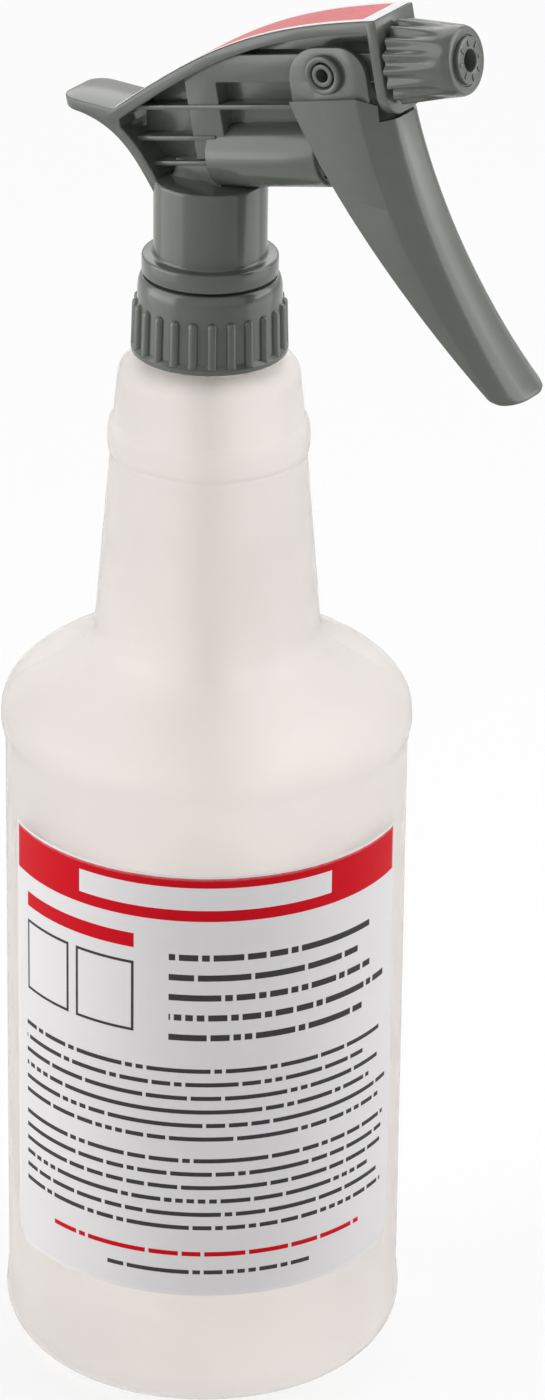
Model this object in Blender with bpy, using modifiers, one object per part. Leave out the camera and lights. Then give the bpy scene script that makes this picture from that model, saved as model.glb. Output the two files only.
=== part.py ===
"""Trigger spray bottle for lab liquids, built as an assembly.

Units are metres. +Z is up, the bottle stands on z = 0 with its axis on Z, and +X is the way it sprays.
The pump deck, with the nozzle, pump cylinder and trigger pivot, leans back from the nozzle by DECK_TILT.
Its own axes are u (towards the nozzle) and v (up, square to u), from the point where the nozzle's axis
meets the bottle's axis.
"""

import math

import bmesh
import bpy
from mathutils import Matrix, Vector

# Fits
SEAT_GAP = 0.0003        # between pieces that rest on each other
SLIDE_GAP = 0.0003       # round a piece that slides or turns in another
SKIN_GAP = 0.0001        # under a label
OVERLAP = 0.0008         # how deep joined shapes run into each other
PAST = 0.002             # how far a cut runs past the face it opens

# Round pieces
BIG_STEPS = 36
MID_STEPS = 24
SMALL_STEPS = 12
CURVE_STEPS = 8
THREAD_POINTS = 20       # points in each turn of a thread

# Bottle, from the floor up
FOOT_R = 0.0349
BASE_BULGE_R = 0.0444
BASE_BULGE_Z = 0.0100
PANEL_R = 0.04385
PANEL_BOTTOM_Z = 0.0160
PANEL_TOP_Z = 0.1465
SHOULDER_R = 0.04475
SHOULDER_Z = 0.1528
NECK_BASE_R = 0.0244
NECK_BASE_Z = 0.1740
SHOULDER_EASE = 0.0108   # how slowly the dome leaves the shoulder
NECK_EASE = 0.0085       # how slowly the dome turns up into the neck
BEAD_R = 0.02186
BEAD_DROP = 0.0128       # from the neck's top down to the bead's middle
BEAD_HALF = 0.0041
BEAD_RISE = 0.0010
NECK_TOP_R = 0.0196
NECK_TOP_DROP = 0.0170   # from the mouth down to the neck's top
BOTTLE_HEIGHT = 0.2476
BOTTLE_WALL = 0.0012

# Neck finish with a coarse single thread
FINISH_HEIGHT = 0.0120
FINISH_R = 0.01265
FINISH_BORE_R = 0.0108
LAND_CHAMFER = 0.0005
THREAD_PITCH = 0.004233
THREAD_TURNS = 1.25
THREAD_RIDGE_R = 0.0011
THREAD_TOP_DROP = 0.0030  # from the land to the upper end of the thread

# Bottle label, wrapped round the panel
LABEL_FACING = math.radians(-57.8)
LABEL_HALF_ANGLE = math.radians(70.0)
LABEL_BOTTOM_Z = 0.0306
LABEL_TOP_Z = 0.1334
LABEL_THICK = 0.00015
LABEL_STEPS = 28

# Closure and the joint between bottle and sprayer
GASKET_THICK = 0.0015
GASKET_R = 0.0122
GASKET_BORE_R = 0.0074
RETAINING_FLANGE_R = 0.0126
RETAINING_FLANGE_THICK = 0.0020
CLOSURE_TOP_WALL = 0.0019
CLOSURE_HEIGHT = 0.0170
CLOSURE_BORE_R = 0.01415
CLOSURE_RIDGE_R = 0.0010
CLOSURE_SKIRT_R = 0.01575
CLOSURE_SHOULDER_R = 0.0154
CLOSURE_TOP_R = 0.0148
CLOSURE_SHOULDER_DROP = 0.0036
CLOSURE_RIM_R = 0.01675
CLOSURE_RIM_HEIGHT = 0.0016
CLOSURE_RIBS = 24
CLOSURE_RIB_R = 0.00085
CLOSURE_RIB_LENGTH = 0.0101
CLOSURE_RIB_SET_IN = 0.0001

# Sprayer body below the deck
COLLAR_GAP = 0.00045
COLLAR_R = 0.0145
COLLAR_THICK = 0.0042
COLLAR_EDGE = 0.0005
SHANK_R = 0.01205
SHANK_LENGTH = 0.01685
SHANK_EDGE = 0.0009
SHANK_NECK_R = 0.0112
SHANK_WALL = 0.0017
CORE_R = 0.0066          # tube in the middle of the shank
INLET_NECK_R = 0.0034
INLET_FLARE = 0.0014

# Tube retainer, inlet valve and dip tube
RETAINER_R = 0.0046
RETAINER_BELOW = 0.0047  # how far it stands out below the flange
RETAINER_SOCKET_DEPTH = 0.0110
RETAINER_SEAT_THICK = 0.0030
RETAINER_CAGE_HEIGHT = 0.0044
RETAINER_CAGE_R = 0.0025
RETAINER_LIP_R = 0.0056
RETAINER_LIP_THICK = 0.0014
INLET_SEAT_R = 0.0013
INLET_BALL_R = 0.0020
INLET_BORE_R = 0.0014
DIP_TUBE_R = 0.0030
DIP_TUBE_BORE_R = 0.0020
DIP_TUBE_FOOT_Z = 0.0060

# Deck frame
DECK_TILT = math.radians(11.3)
NOZZLE_RISE = 0.0252     # from the shank's top to the nozzle's axis, on the bottle's axis
HEAD_HALF_WIDTH = 0.00765
STRIP_THICK = 0.0024
TAIL_U = -0.0350
TAIL_V = -0.0071
TAIL_REACH = 0.0140      # length of the tail's underside before it bends down
TAIL_CORNER = 0.0030
HEEL_U = -0.0146
HEEL_V = -0.0265
STRIP_REAR_U = -0.02145
STRIP_REAR_V = -0.00792
STRIP_REAR_REACH = 0.0280
STRIP_FRONT_V = 0.01033
STRIP_FRONT_REACH = 0.0300
PLATE_FRONT_U = 0.0465
PLATE_THICK = 0.0024
PLATE_BOTTOM_V = -0.0103
PLATE_CORNER = 0.0055
PLATE_TOP_DROP = 0.00015
WEB_HALF = 0.0010
RIB_HALF_WIDTH = 0.0054
RIB_THICK = 0.0010
RIB_1_V = -0.0082
RIB_1_END_U = 0.0250
RIB_2_V = -0.0149
RIB_3_V = -0.0203
RIB_SHORT_END_U = 0.0015
PILLAR_REAR_U = -0.0029
PILLAR_FRONT_U = 0.0035
BAR_HALF_HEIGHT = 0.0030
BAR_HALF_WIDTH = 0.0050

# Top label on the strip
TOP_LABEL_MARGIN = 0.0004
TOP_LABEL_THICK = 0.00015
TOP_LABEL_SET_BACK = 0.0004

# Pump
PUMP_V = -0.0196
PUMP_R = 0.0070
PUMP_BORE_R = 0.0055
PUMP_REAR_U = -0.0010
PUMP_FRONT_U = 0.0262
PUMP_END_WALL = 0.0014
INLET_DROP = 0.0034      # from the pump's axis down to the inlet passage
INLET_BRIDGE_R = 0.0024
INLET_PASSAGE_R = 0.0012  # of the sloping passage into the pump
RISER_U = 0.0009
RISER_R = 0.0014
DISCHARGE_R = 0.0014

# Trigger
PIVOT_U = 0.0325
PIVOT_V = -0.00065
TRUNNION_R = 0.0024
TRUNNION_BORE_R = 0.0014
TRUNNION_BORE_DEPTH = 0.0040
TRUNNION_SET_IN = 0.0002
TRIGGER_HALF_TRAVEL = math.radians(12.0)
TRIGGER_HALF_WIDTH = 0.0089
TRIGGER_FRONT_HALF = 0.0047
TRIGGER_CHEEK = 0.0016
TRIGGER_FRONT_WALL = 0.0018
TRIGGER_STATIONS = 9
TRIGGER_TIP_SOLID = 0.10  # share of the trigger's length that is solid at the tip
TRIGGER_CHANNEL_RUN_ON = 0.08  # share that the channel's cut runs past the trigger's top
TRIGGER_NOTCH_GAP = 0.0007  # round the front plate's lower end
EAR_INNER_Y = 0.0059
EAR_THICK = 0.0016
EAR_REAR = -0.0090
EAR_FRONT = 0.0098
EAR_TOP = 0.0056
EAR_FOOT = -0.0095
EAR_CORNER = 0.0055
EAR_FOOT_TAPER = 0.0020
BOSS_R = 0.00405
BOSS_RISE = 0.0014
EAR_HOLE_CLEARANCE = 0.0002
# Lines of the trigger seen from its side, in deck axes from the pivot: start, two handles, end
TRIGGER_FRONT_LINE = ((0.0135, -0.0085), (0.0146, -0.0295), (0.0224, -0.0520), (0.0336, -0.0706))
TRIGGER_CHEEK_LINE = ((0.0065, -0.0062), (0.0090, -0.0270), (0.0172, -0.0500), (0.0302, -0.0698))
TRIGGER_REAR_LINE = ((-0.0089, -0.0066), (-0.0020, -0.0273), (0.0144, -0.0524), (0.0286, -0.06935))
PIN_R = 0.0015

# Piston, its seals and springs
PISTON_R = 0.0050
PISTON_LENGTH = 0.0085
PISTON_ROD_R = 0.0032
SPRING_SPACE = 0.0146    # between the cylinder's end wall and the piston at rest
SPIGOT_R = 0.0029
SPIGOT_LENGTH = 0.0030
HOOK_R = 0.0046
HOOK_BEHIND = 0.0034
HOOK_AHEAD = 0.0030
HOOK_MOUTH_HALF = 0.0013
SEAL_GROOVE_R = 0.0038
SEAL_GROOVE_WIDTH = 0.0020
SEAL_SET_IN = 0.0012     # from each end of the piston to its groove
SEAL_LIP = 0.0004
SPRING_COIL_R = 0.0040
SPRING_WIRE_R = 0.00045
SPRING_TURNS = 6
SPRING_POINTS = 10       # points in each turn
OUTLET_COIL_R = 0.00150
OUTLET_WIRE_R = 0.00022
OUTLET_TURNS = 5

# Barrel, outlet valve, spinner and nozzle
BARREL_R = 0.0046
BARREL_REAR_U = 0.0340
BARREL_FRONT_U = 0.0570
BARREL_NOSE_R = 0.0044
BARREL_NOSE_LENGTH = 0.0046
VALVE_SEAT_U = 0.0370
VALVE_CHAMBER_R = 0.0025
OUTLET_BALL_R = 0.0020
SPINNER_STEM_LENGTH = 0.0070
SPINNER_HEAD_R = 0.0034
SPINNER_HEAD_THICK = 0.0008
SPINNER_GROOVES = 3
SPINNER_GROOVE = 0.0009
NOZZLE_GAP = 0.0010      # between the front plate and the nozzle
NOZZLE_LENGTH = 0.0147
NOZZLE_REAR_R = 0.0089
NOZZLE_FRONT_R = 0.0072
NOZZLE_BORE_R = 0.0057
NOZZLE_FACE_WALL = 0.0037
NOZZLE_DISC_R = 0.0049
NOZZLE_DISC_RISE = 0.0009
NOZZLE_HOLE_R = 0.0023
NOZZLE_HOLE_DEPTH = 0.0032
ORIFICE_R = 0.0005
FLUTES = 16
FLUTE_DEPTH = 0.0010
FLUTE_END = 0.0118       # where the flutes fade out, from the nozzle's rear
FLUTE_STEPS = 4          # steps round each flute
NOZZLE_PITCH = 0.0032
NOZZLE_THREAD_TURNS = 1.5
NOZZLE_RIDGE_R = 0.00055
NOZZLE_THREAD_SET_IN = 0.0022
ORING_WIRE_R = 0.0006
ORING_GROOVE_DEPTH = 0.00055
ORING_SET_BACK = 0.0012  # from the nozzle's inner face to the ring's groove

# Heights that follow from the mouth and the stack on it
NECK_TOP_Z = BOTTLE_HEIGHT - NECK_TOP_DROP
BEAD_Z = NECK_TOP_Z - BEAD_DROP
GASKET_Z = BOTTLE_HEIGHT + SEAT_GAP
FLANGE_Z = GASKET_Z + GASKET_THICK + SEAT_GAP
CLOSURE_WALL_Z = FLANGE_Z + RETAINING_FLANGE_THICK + SEAT_GAP
CLOSURE_TOP_Z = CLOSURE_WALL_Z + CLOSURE_TOP_WALL
CLOSURE_Z = CLOSURE_TOP_Z - CLOSURE_HEIGHT
COLLAR_Z = CLOSURE_TOP_Z + COLLAR_GAP
SHANK_Z = COLLAR_Z + COLLAR_THICK
SHANK_TOP_Z = SHANK_Z + SHANK_LENGTH
NOZZLE_Z = SHANK_TOP_Z + NOZZLE_RISE
RETAINER_Z = FLANGE_Z - RETAINER_BELOW
SEAT_Z = RETAINER_Z + RETAINER_SOCKET_DEPTH + RETAINER_SEAT_THICK
RETAINER_TOP_Z = SEAT_Z + RETAINER_CAGE_HEIGHT

# Places on the deck that follow from the sizes above
PUMP_BORE_U = PUMP_REAR_U + PUMP_END_WALL
PIN_DROP = PIVOT_V - PUMP_V
PIN_U = PIVOT_U + PIN_DROP * math.tan(TRIGGER_HALF_TRAVEL)
STROKE = 2 * PIN_DROP * math.tan(TRIGGER_HALF_TRAVEL)
PISTON_U = PUMP_BORE_U + SPRING_SPACE
NOZZLE_U = PLATE_FRONT_U + NOZZLE_GAP
NOZZLE_INNER_U = NOZZLE_U + NOZZLE_LENGTH - NOZZLE_FACE_WALL
SPINNER_U = BARREL_FRONT_U - SPINNER_STEM_LENGTH
CHEEK_INNER_Y = TRIGGER_HALF_WIDTH - TRIGGER_CHEEK
SQUARE_TO_DECK = (0.0, math.pi / 2, 0.0)


def bezier(start, handle_a, handle_b, end, steps):
    """Points along a cubic curve in a plane, both ends included."""
    points = []
    for i in range(steps + 1):
        points.append(bezier_at((start, handle_a, handle_b, end), i / steps))
    return points


def bezier_at(line, t):
    """One point of a cubic curve, given as start, two handles and end."""
    weights = ((1 - t) ** 3, 3 * t * (1 - t) ** 2, 3 * t * t * (1 - t), t ** 3)
    return (
        sum(w * p[0] for w, p in zip(weights, line)),
        sum(w * p[1] for w, p in zip(weights, line)),
    )


def offset(points, distance):
    """An open line of points moved sideways to its left, with mitred corners."""
    normals = []
    for a, b in zip(points, points[1:]):
        length = math.hypot(b[0] - a[0], b[1] - a[1])
        normals.append(((a[1] - b[1]) / length, (b[0] - a[0]) / length))
    moved = []
    for i, point in enumerate(points):
        before = normals[max(i - 1, 0)]
        after = normals[min(i, len(normals) - 1)]
        share = distance / (1 + before[0] * after[0] + before[1] * after[1])
        moved.append((
            point[0] + share * (before[0] + after[0]),
            point[1] + share * (before[1] + after[1]),
        ))
    return moved


def band(points, thickness):
    """The closed outline of a strip on the left of a line."""
    return points + offset(points, thickness)[::-1]


def arc(centre, radius, start, end, steps):
    """Points on an arc in a plane, angles in radians."""
    points = []
    for i in range(steps + 1):
        angle = start + (end - start) * i / steps
        points.append((centre[0] + radius * math.cos(angle), centre[1] + radius * math.sin(angle)))
    return points


def height_on(points, v):
    """Where a line of points that falls all the way crosses height v."""
    for a, b in zip(points, points[1:]):
        if a[1] >= v >= b[1]:
            return a[0] + (b[0] - a[0]) * (a[1] - v) / (a[1] - b[1])
    return points[-1][0]


def trimmed(points, first, last):
    """The piece of a line, which runs the way of x, between two values of x."""
    def at(x):
        for a, b in zip(points, points[1:]):
            if a[0] <= x <= b[0]:
                return (x, a[1] + (b[1] - a[1]) * (x - a[0]) / (b[0] - a[0]))
        return points[-1]

    return [at(first)] + [p for p in points if first < p[0] < last] + [at(last)]


def clear_scene():
    for obj in list(bpy.data.objects):
        bpy.data.objects.remove(obj, do_unlink=True)


def new_collection(name, hidden=False):
    made = bpy.data.collections.new(name)
    bpy.context.scene.collection.children.link(made)
    made.hide_render = hidden
    return made


def new_material(name, colour, roughness, metallic=0.0):
    made = bpy.data.materials.new(name)
    made.use_nodes = True
    shader = made.node_tree.nodes["Principled BSDF"]
    shader.inputs["Base Color"].default_value = (*colour, 1.0)
    shader.inputs["Roughness"].default_value = roughness
    shader.inputs["Metallic"].default_value = metallic
    made.diffuse_color = (*colour, 1.0)
    return made


def frame(name, parent, location, rotation=(0.0, 0.0, 0.0)):
    """An empty that stands on a datum or a joint's axis."""
    made = bpy.data.objects.new(name, None)
    made.empty_display_size = SHANK_R
    made.parent = parent
    made.location = location
    made.rotation_euler = rotation
    PARTS.objects.link(made)
    return made


def place(obj, parent, location=(0.0, 0.0, 0.0), rotation=(0.0, 0.0, 0.0)):
    obj.parent = parent
    obj.location = location
    obj.rotation_euler = rotation
    return obj


def from_bmesh(name, bm):
    """A new part from a bmesh, with its faces pointing out."""
    bmesh.ops.recalc_face_normals(bm, faces=bm.faces)
    mesh = bpy.data.meshes.new(name)
    bm.to_mesh(mesh)
    bm.free()
    made = bpy.data.objects.new(name, mesh)
    PARTS.objects.link(made)
    return made


def baked(obj):
    """The same object as a plain mesh, with its modifiers or curve made real and its seams welded."""
    graph = bpy.context.evaluated_depsgraph_get()
    mesh = bpy.data.meshes.new_from_object(obj.evaluated_get(graph))
    bm = bmesh.new()
    bm.from_mesh(mesh)
    bmesh.ops.remove_doubles(bm, verts=bm.verts, dist=1e-7)
    bmesh.ops.recalc_face_normals(bm, faces=bm.faces)
    bm.to_mesh(mesh)
    bm.free()
    made = bpy.data.objects.new(obj.name, mesh)
    name = obj.name
    bpy.data.objects.remove(obj, do_unlink=True)
    made.name = name
    PARTS.objects.link(made)
    return made


def turned(name, profile, steps, closed=False):
    """A shape turned round Z from a profile of (radius, height), which runs down the outer side."""
    mesh = bpy.data.meshes.new(name)
    edges = [(i, i + 1) for i in range(len(profile) - 1)]
    if closed:
        edges.append((len(profile) - 1, 0))
    mesh.from_pydata([(r, 0.0, z) for r, z in profile], edges, [])
    made = bpy.data.objects.new(name, mesh)
    PARTS.objects.link(made)
    screw = made.modifiers.new("Turn", "SCREW")
    screw.steps = steps
    screw.render_steps = steps
    screw.use_merge_vertices = True
    screw.merge_threshold = 1e-6
    screw.use_smooth_shade = True
    return made


def slab(name, outline, half_width):
    """An outline in the (x, z) plane, given a thickness both ways along Y."""
    curve = bpy.data.curves.new(name, "CURVE")
    curve.dimensions = "2D"
    curve.fill_mode = "BOTH"
    curve.extrude = half_width
    spline = curve.splines.new("POLY")
    spline.points.add(len(outline) - 1)
    for point, (x, z) in zip(spline.points, outline):
        point.co = (x, z, 0.0, 1.0)
    spline.use_cyclic_u = True
    made = bpy.data.objects.new(name, curve)
    PARTS.objects.link(made)
    made = baked(made)
    made.data.transform(Matrix.Rotation(math.pi / 2, 4, "X"))
    return made


def wire(name, points, radius):
    """One unbroken round wire through the points."""
    curve = bpy.data.curves.new(name, "CURVE")
    curve.dimensions = "3D"
    curve.bevel_depth = radius
    curve.bevel_resolution = 1
    curve.use_fill_caps = True
    spline = curve.splines.new("POLY")
    spline.points.add(len(points) - 1)
    for point, place_at in zip(spline.points, points):
        point.co = (*place_at, 1.0)
    made = bpy.data.objects.new(name, curve)
    PARTS.objects.link(made)
    return baked(made)


def rod(name, radius, start, end, steps):
    """A plain round rod between two points of its parent's frame."""
    start, end = Vector(start), Vector(end)
    bm = bmesh.new()
    bmesh.ops.create_cone(
        bm, cap_ends=True, segments=steps, radius1=radius, radius2=radius, depth=(end - start).length
    )
    turn = Vector((0.0, 0.0, 1.0)).rotation_difference(end - start).to_matrix().to_4x4()
    bmesh.ops.transform(bm, matrix=Matrix.Translation((start + end) / 2) @ turn, verts=bm.verts)
    return from_bmesh(name, bm)


def block(name, low, high):
    """A box between two corners of its parent's frame."""
    low, high = Vector(low), Vector(high)
    bm = bmesh.new()
    bmesh.ops.create_cube(bm, size=1.0)
    size = high - low
    bmesh.ops.scale(bm, vec=size, verts=bm.verts)
    bmesh.ops.translate(bm, vec=(low + high) / 2, verts=bm.verts)
    return from_bmesh(name, bm)


def ball(name, radius):
    bm = bmesh.new()
    bmesh.ops.create_uvsphere(bm, u_segments=SMALL_STEPS, v_segments=SMALL_STEPS // 2, radius=radius)
    return from_bmesh(name, bm)


def loft(name, rings):
    """A solid through rings that are alike on both sides of the middle plane, capped at both ends."""
    bm = bmesh.new()
    made = [[bm.verts.new(p) for p in ring] for ring in rings]
    for a, b in zip(made, made[1:]):
        for i in range(len(a)):
            j = (i + 1) % len(a)
            bm.faces.new((a[i], a[j], b[j], b[i]))
    # Each cap is a row of flat faces across the middle plane, since the ring itself may be bent.
    for end in (made[0], made[-1]):
        for i in range(len(end) // 2 - 1):
            bm.faces.new((end[i], end[i + 1], end[-2 - i], end[-1 - i]))
    # The faces between unlike sections are warped, and a Boolean needs flat ones.
    bmesh.ops.triangulate(bm, faces=bm.faces)
    return from_bmesh(name, bm)


def use_tool(obj, tool, operation):
    modifier = obj.modifiers.new(tool.name, "BOOLEAN")
    modifier.operation = operation
    modifier.solver = "EXACT"
    modifier.object = tool
    PARTS.objects.unlink(tool)
    CUTTERS.objects.link(tool)
    tool.hide_render = True
    tool.display_type = "WIRE"


def join(obj, *tools):
    for tool in tools:
        use_tool(obj, tool, "UNION")


def cut(obj, *tools):
    for tool in tools:
        use_tool(obj, tool, "DIFFERENCE")


def finish(obj, material):
    """Gives a part its material and its shading."""
    obj.data.materials.clear()
    obj.data.materials.append(material)
    obj.data.shade_smooth()
    obj.data.set_sharp_from_angle(angle=math.radians(35.0))
    return obj


def helix(radius, pitch, turns, low, points_per_turn):
    """Points up a right-hand helix round Z that starts at height low."""
    points = []
    for i in range(round(turns * points_per_turn) + 1):
        angle = 2 * math.pi * i / points_per_turn
        points.append((
            radius * math.cos(angle),
            radius * math.sin(angle),
            low + pitch * i / points_per_turn,
        ))
    return points


def least_gap(points, points_per_turn, wire_radius):
    """The smallest gap between a coil's neighbouring turns."""
    least = math.inf
    for i, a in enumerate(points):
        for b in points[i + points_per_turn // 2:]:
            least = min(least, math.dist(a, b) - 2 * wire_radius)
    return least


def coil(name, radius, wire_radius, turns, length):
    """A compression spring along Z from 0 to length over its wire."""
    rise = (length - 2 * wire_radius) / turns
    points = helix(radius, rise, turns, wire_radius, SPRING_POINTS)
    print(f"{name}: least gap to itself {1000 * least_gap(points, SPRING_POINTS, wire_radius):.2f} mm")
    return wire(name, points, wire_radius)


def bottle_outside(fineness):
    """The bottle's outer profile from the neck's land down to the middle of its base."""
    base = BOTTLE_HEIGHT - FINISH_HEIGHT
    points = [
        (FINISH_R - LAND_CHAMFER, BOTTLE_HEIGHT),
        (FINISH_R, BOTTLE_HEIGHT - LAND_CHAMFER),
    ]
    reach = NECK_TOP_R - FINISH_R
    drop = base - NECK_TOP_Z
    points += bezier(
        (FINISH_R, base),
        (FINISH_R + 0.7 * reach, base),
        (NECK_TOP_R, NECK_TOP_Z + 0.55 * drop),
        (NECK_TOP_R, NECK_TOP_Z),
        2 + fineness,
    )
    below = BEAD_R - 0.7 * BEAD_RISE
    points += [(BEAD_R - 1.4 * BEAD_RISE, BEAD_Z + BEAD_HALF)]
    points += bezier(
        (BEAD_R - BEAD_RISE, BEAD_Z + 0.65 * BEAD_HALF),
        (BEAD_R, BEAD_Z + 0.35 * BEAD_HALF),
        (BEAD_R, BEAD_Z - 0.35 * BEAD_HALF),
        (below, BEAD_Z - BEAD_HALF),
        1 + fineness,
    )
    points += bezier(
        (NECK_BASE_R, NECK_BASE_Z),
        (NECK_BASE_R, NECK_BASE_Z - NECK_EASE),
        (SHOULDER_R, SHOULDER_Z + SHOULDER_EASE),
        (SHOULDER_R, SHOULDER_Z),
        3 + 2 * fineness,
    )
    points += [
        ((SHOULDER_R + PANEL_R) / 2, (SHOULDER_Z + PANEL_TOP_Z) / 2),
        (PANEL_R, PANEL_TOP_Z),
        (PANEL_R, PANEL_BOTTOM_Z),
    ]
    for i in range(1 + fineness):
        angle = math.pi / 2 * i / (1 + fineness)
        points.append((
            FOOT_R + (BASE_BULGE_R - FOOT_R) * math.cos(angle),
            BASE_BULGE_Z * (1 - math.sin(angle)),
        ))
    points += [(FOOT_R, 0.0), (0.0, 0.0)]
    return points


def make_bottle(parent):
    outside = bottle_outside(3)
    inside = offset(bottle_outside(1), -BOTTLE_WALL)
    # The bore runs straight down through the finish, to where the neck's inner wall is as wide as it.
    wide = [p for p in inside[3:] if p[0] > FINISH_BORE_R or p[1] < SHOULDER_Z]
    profile = outside + wide[::-1] + [
        (FINISH_BORE_R, BOTTLE_HEIGHT - FINISH_HEIGHT - BOTTLE_WALL),
        (FINISH_BORE_R, BOTTLE_HEIGHT),
    ]
    made = turned("bottle", profile, BIG_STEPS, closed=True)
    made = place(baked(made), parent, rotation=(0.0, 0.0, LABEL_FACING))
    low = BOTTLE_HEIGHT - THREAD_TOP_DROP - THREAD_TURNS * THREAD_PITCH
    thread = wire(
        "bottle_thread", helix(FINISH_R, THREAD_PITCH, THREAD_TURNS, low, THREAD_POINTS), THREAD_RIDGE_R
    )
    join(made, place(thread, parent))
    return finish(made, HDPE)


def make_bottle_label(parent):
    inner = PANEL_R + SKIN_GAP
    mesh = bpy.data.meshes.new("bottle_label")
    mesh.from_pydata([(inner, 0.0, LABEL_TOP_Z), (inner, 0.0, LABEL_BOTTOM_Z)], [(0, 1)], [])
    made = bpy.data.objects.new("bottle_label", mesh)
    PARTS.objects.link(made)
    screw = made.modifiers.new("Wrap", "SCREW")
    screw.angle = 2 * LABEL_HALF_ANGLE
    screw.steps = LABEL_STEPS
    screw.render_steps = LABEL_STEPS
    screw.use_smooth_shade = True
    shell = made.modifiers.new("Sheet", "SOLIDIFY")
    shell.thickness = LABEL_THICK
    shell.offset = 1.0
    made = baked(made)
    place(made, parent, rotation=(0.0, 0.0, LABEL_FACING - LABEL_HALF_ANGLE))
    return finish(made, LABEL_PAPER)


def make_closure(parent):
    hole = SHANK_NECK_R + SLIDE_GAP
    shoulder = CLOSURE_TOP_Z - CLOSURE_SHOULDER_DROP
    rim_top = CLOSURE_Z + CLOSURE_RIM_HEIGHT
    profile = [(hole, CLOSURE_TOP_Z)]
    profile += bezier(
        (CLOSURE_TOP_R - 0.5 * SHANK_EDGE, CLOSURE_TOP_Z),
        (CLOSURE_TOP_R, CLOSURE_TOP_Z),
        (CLOSURE_SHOULDER_R, CLOSURE_TOP_Z - 0.3 * CLOSURE_SHOULDER_DROP),
        (CLOSURE_SHOULDER_R, shoulder),
        4,
    )
    profile += [
        (CLOSURE_SKIRT_R, rim_top),
        (CLOSURE_RIM_R, rim_top - 0.3 * CLOSURE_RIM_HEIGHT),
        (CLOSURE_RIM_R, CLOSURE_Z),
        (CLOSURE_BORE_R, CLOSURE_Z),
        (CLOSURE_BORE_R, CLOSURE_WALL_Z),
        (hole, CLOSURE_WALL_Z),
    ]
    made = place(baked(turned("closure", profile, BIG_STEPS, closed=True)), parent)
    low = BOTTLE_HEIGHT - THREAD_TOP_DROP - (THREAD_TURNS - 0.5) * THREAD_PITCH
    thread = wire(
        "closure_thread",
        helix(CLOSURE_BORE_R, THREAD_PITCH, THREAD_TURNS, low, THREAD_POINTS),
        CLOSURE_RIDGE_R,
    )
    join(made, place(thread, parent), place(closure_ribs(rim_top, shoulder), parent))
    return finish(made, GREY_PLASTIC)


def closure_ribs(low, shoulder):
    """The finger ribs round the skirt, each a round bar that leans with the skirt and ends in a dome."""
    bm = bmesh.new()
    lean = math.atan2(CLOSURE_SKIRT_R - CLOSURE_SHOULDER_R, shoulder - low)
    for i in range(CLOSURE_RIBS):
        bar = bmesh.ops.create_cone(
            bm, cap_ends=True, segments=6, radius1=CLOSURE_RIB_R, radius2=CLOSURE_RIB_R,
            depth=CLOSURE_RIB_LENGTH,
        )["verts"]
        for vert in bar:
            if vert.co.z > 0.0:
                vert.co.x *= 0.55
                vert.co.y *= 0.55
            else:
                vert.co.z -= OVERLAP
        turn = Matrix.Rotation(2 * math.pi * i / CLOSURE_RIBS, 4, "Z")
        middle = Matrix.Translation((
            (CLOSURE_SKIRT_R + CLOSURE_SHOULDER_R) / 2 - CLOSURE_RIB_SET_IN,
            0.0,
            low + CLOSURE_RIB_LENGTH / 2,
        ))
        bmesh.ops.transform(bm, matrix=turn @ middle @ Matrix.Rotation(-lean, 4, "Y"), verts=bar)
    return from_bmesh("closure_ribs", bm)


def make_gasket(parent):
    top = GASKET_Z + GASKET_THICK
    profile = [(GASKET_BORE_R, top), (GASKET_R, top), (GASKET_R, GASKET_Z), (GASKET_BORE_R, GASKET_Z)]
    return finish(place(turned("neck_gasket", profile, MID_STEPS, closed=True), parent), SOFT_WHITE)


def strip_line():
    """The top strip's upper face from the tail to the front plate, in deck axes."""
    slope = math.atan2(STRIP_FRONT_V - STRIP_REAR_V, PLATE_FRONT_U - STRIP_REAR_U) * 1.8
    return bezier(
        (STRIP_REAR_U, STRIP_REAR_V),
        (
            STRIP_REAR_U + STRIP_REAR_REACH * math.cos(slope),
            STRIP_REAR_V + STRIP_REAR_REACH * math.sin(slope),
        ),
        (PLATE_FRONT_U - STRIP_FRONT_REACH, STRIP_FRONT_V - 0.02 * STRIP_FRONT_REACH),
        (PLATE_FRONT_U, STRIP_FRONT_V),
        2 * CURVE_STEPS,
    )


def heel_line():
    """The outer line of the tail's underside and the strip that runs down from it to the shank."""
    lean = math.radians(24.0)
    reach = 0.5 * math.hypot(HEEL_U - TAIL_U - TAIL_REACH, HEEL_V - TAIL_V) * 0.9
    return bezier(
        (TAIL_U, TAIL_V),
        (TAIL_U + TAIL_REACH, TAIL_V - 0.22 * TAIL_REACH),
        (HEEL_U - reach * math.sin(lean), HEEL_V + reach * math.cos(lean)),
        (HEEL_U, HEEL_V),
        2 * CURVE_STEPS,
    )


def side_outline():
    """The strip, the tail and the heel as one outline, seen from the side."""
    strip = strip_line()
    heel = heel_line()
    corner = STRIP_REAR_V - 1.5 * STRIP_THICK
    inner = [p for p in offset(heel, STRIP_THICK) if p[1] < corner]
    outline = strip[::-1] + [(TAIL_U, TAIL_V + STRIP_THICK)] + heel
    return outline + inner[::-1] + offset(strip, -STRIP_THICK)


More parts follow.
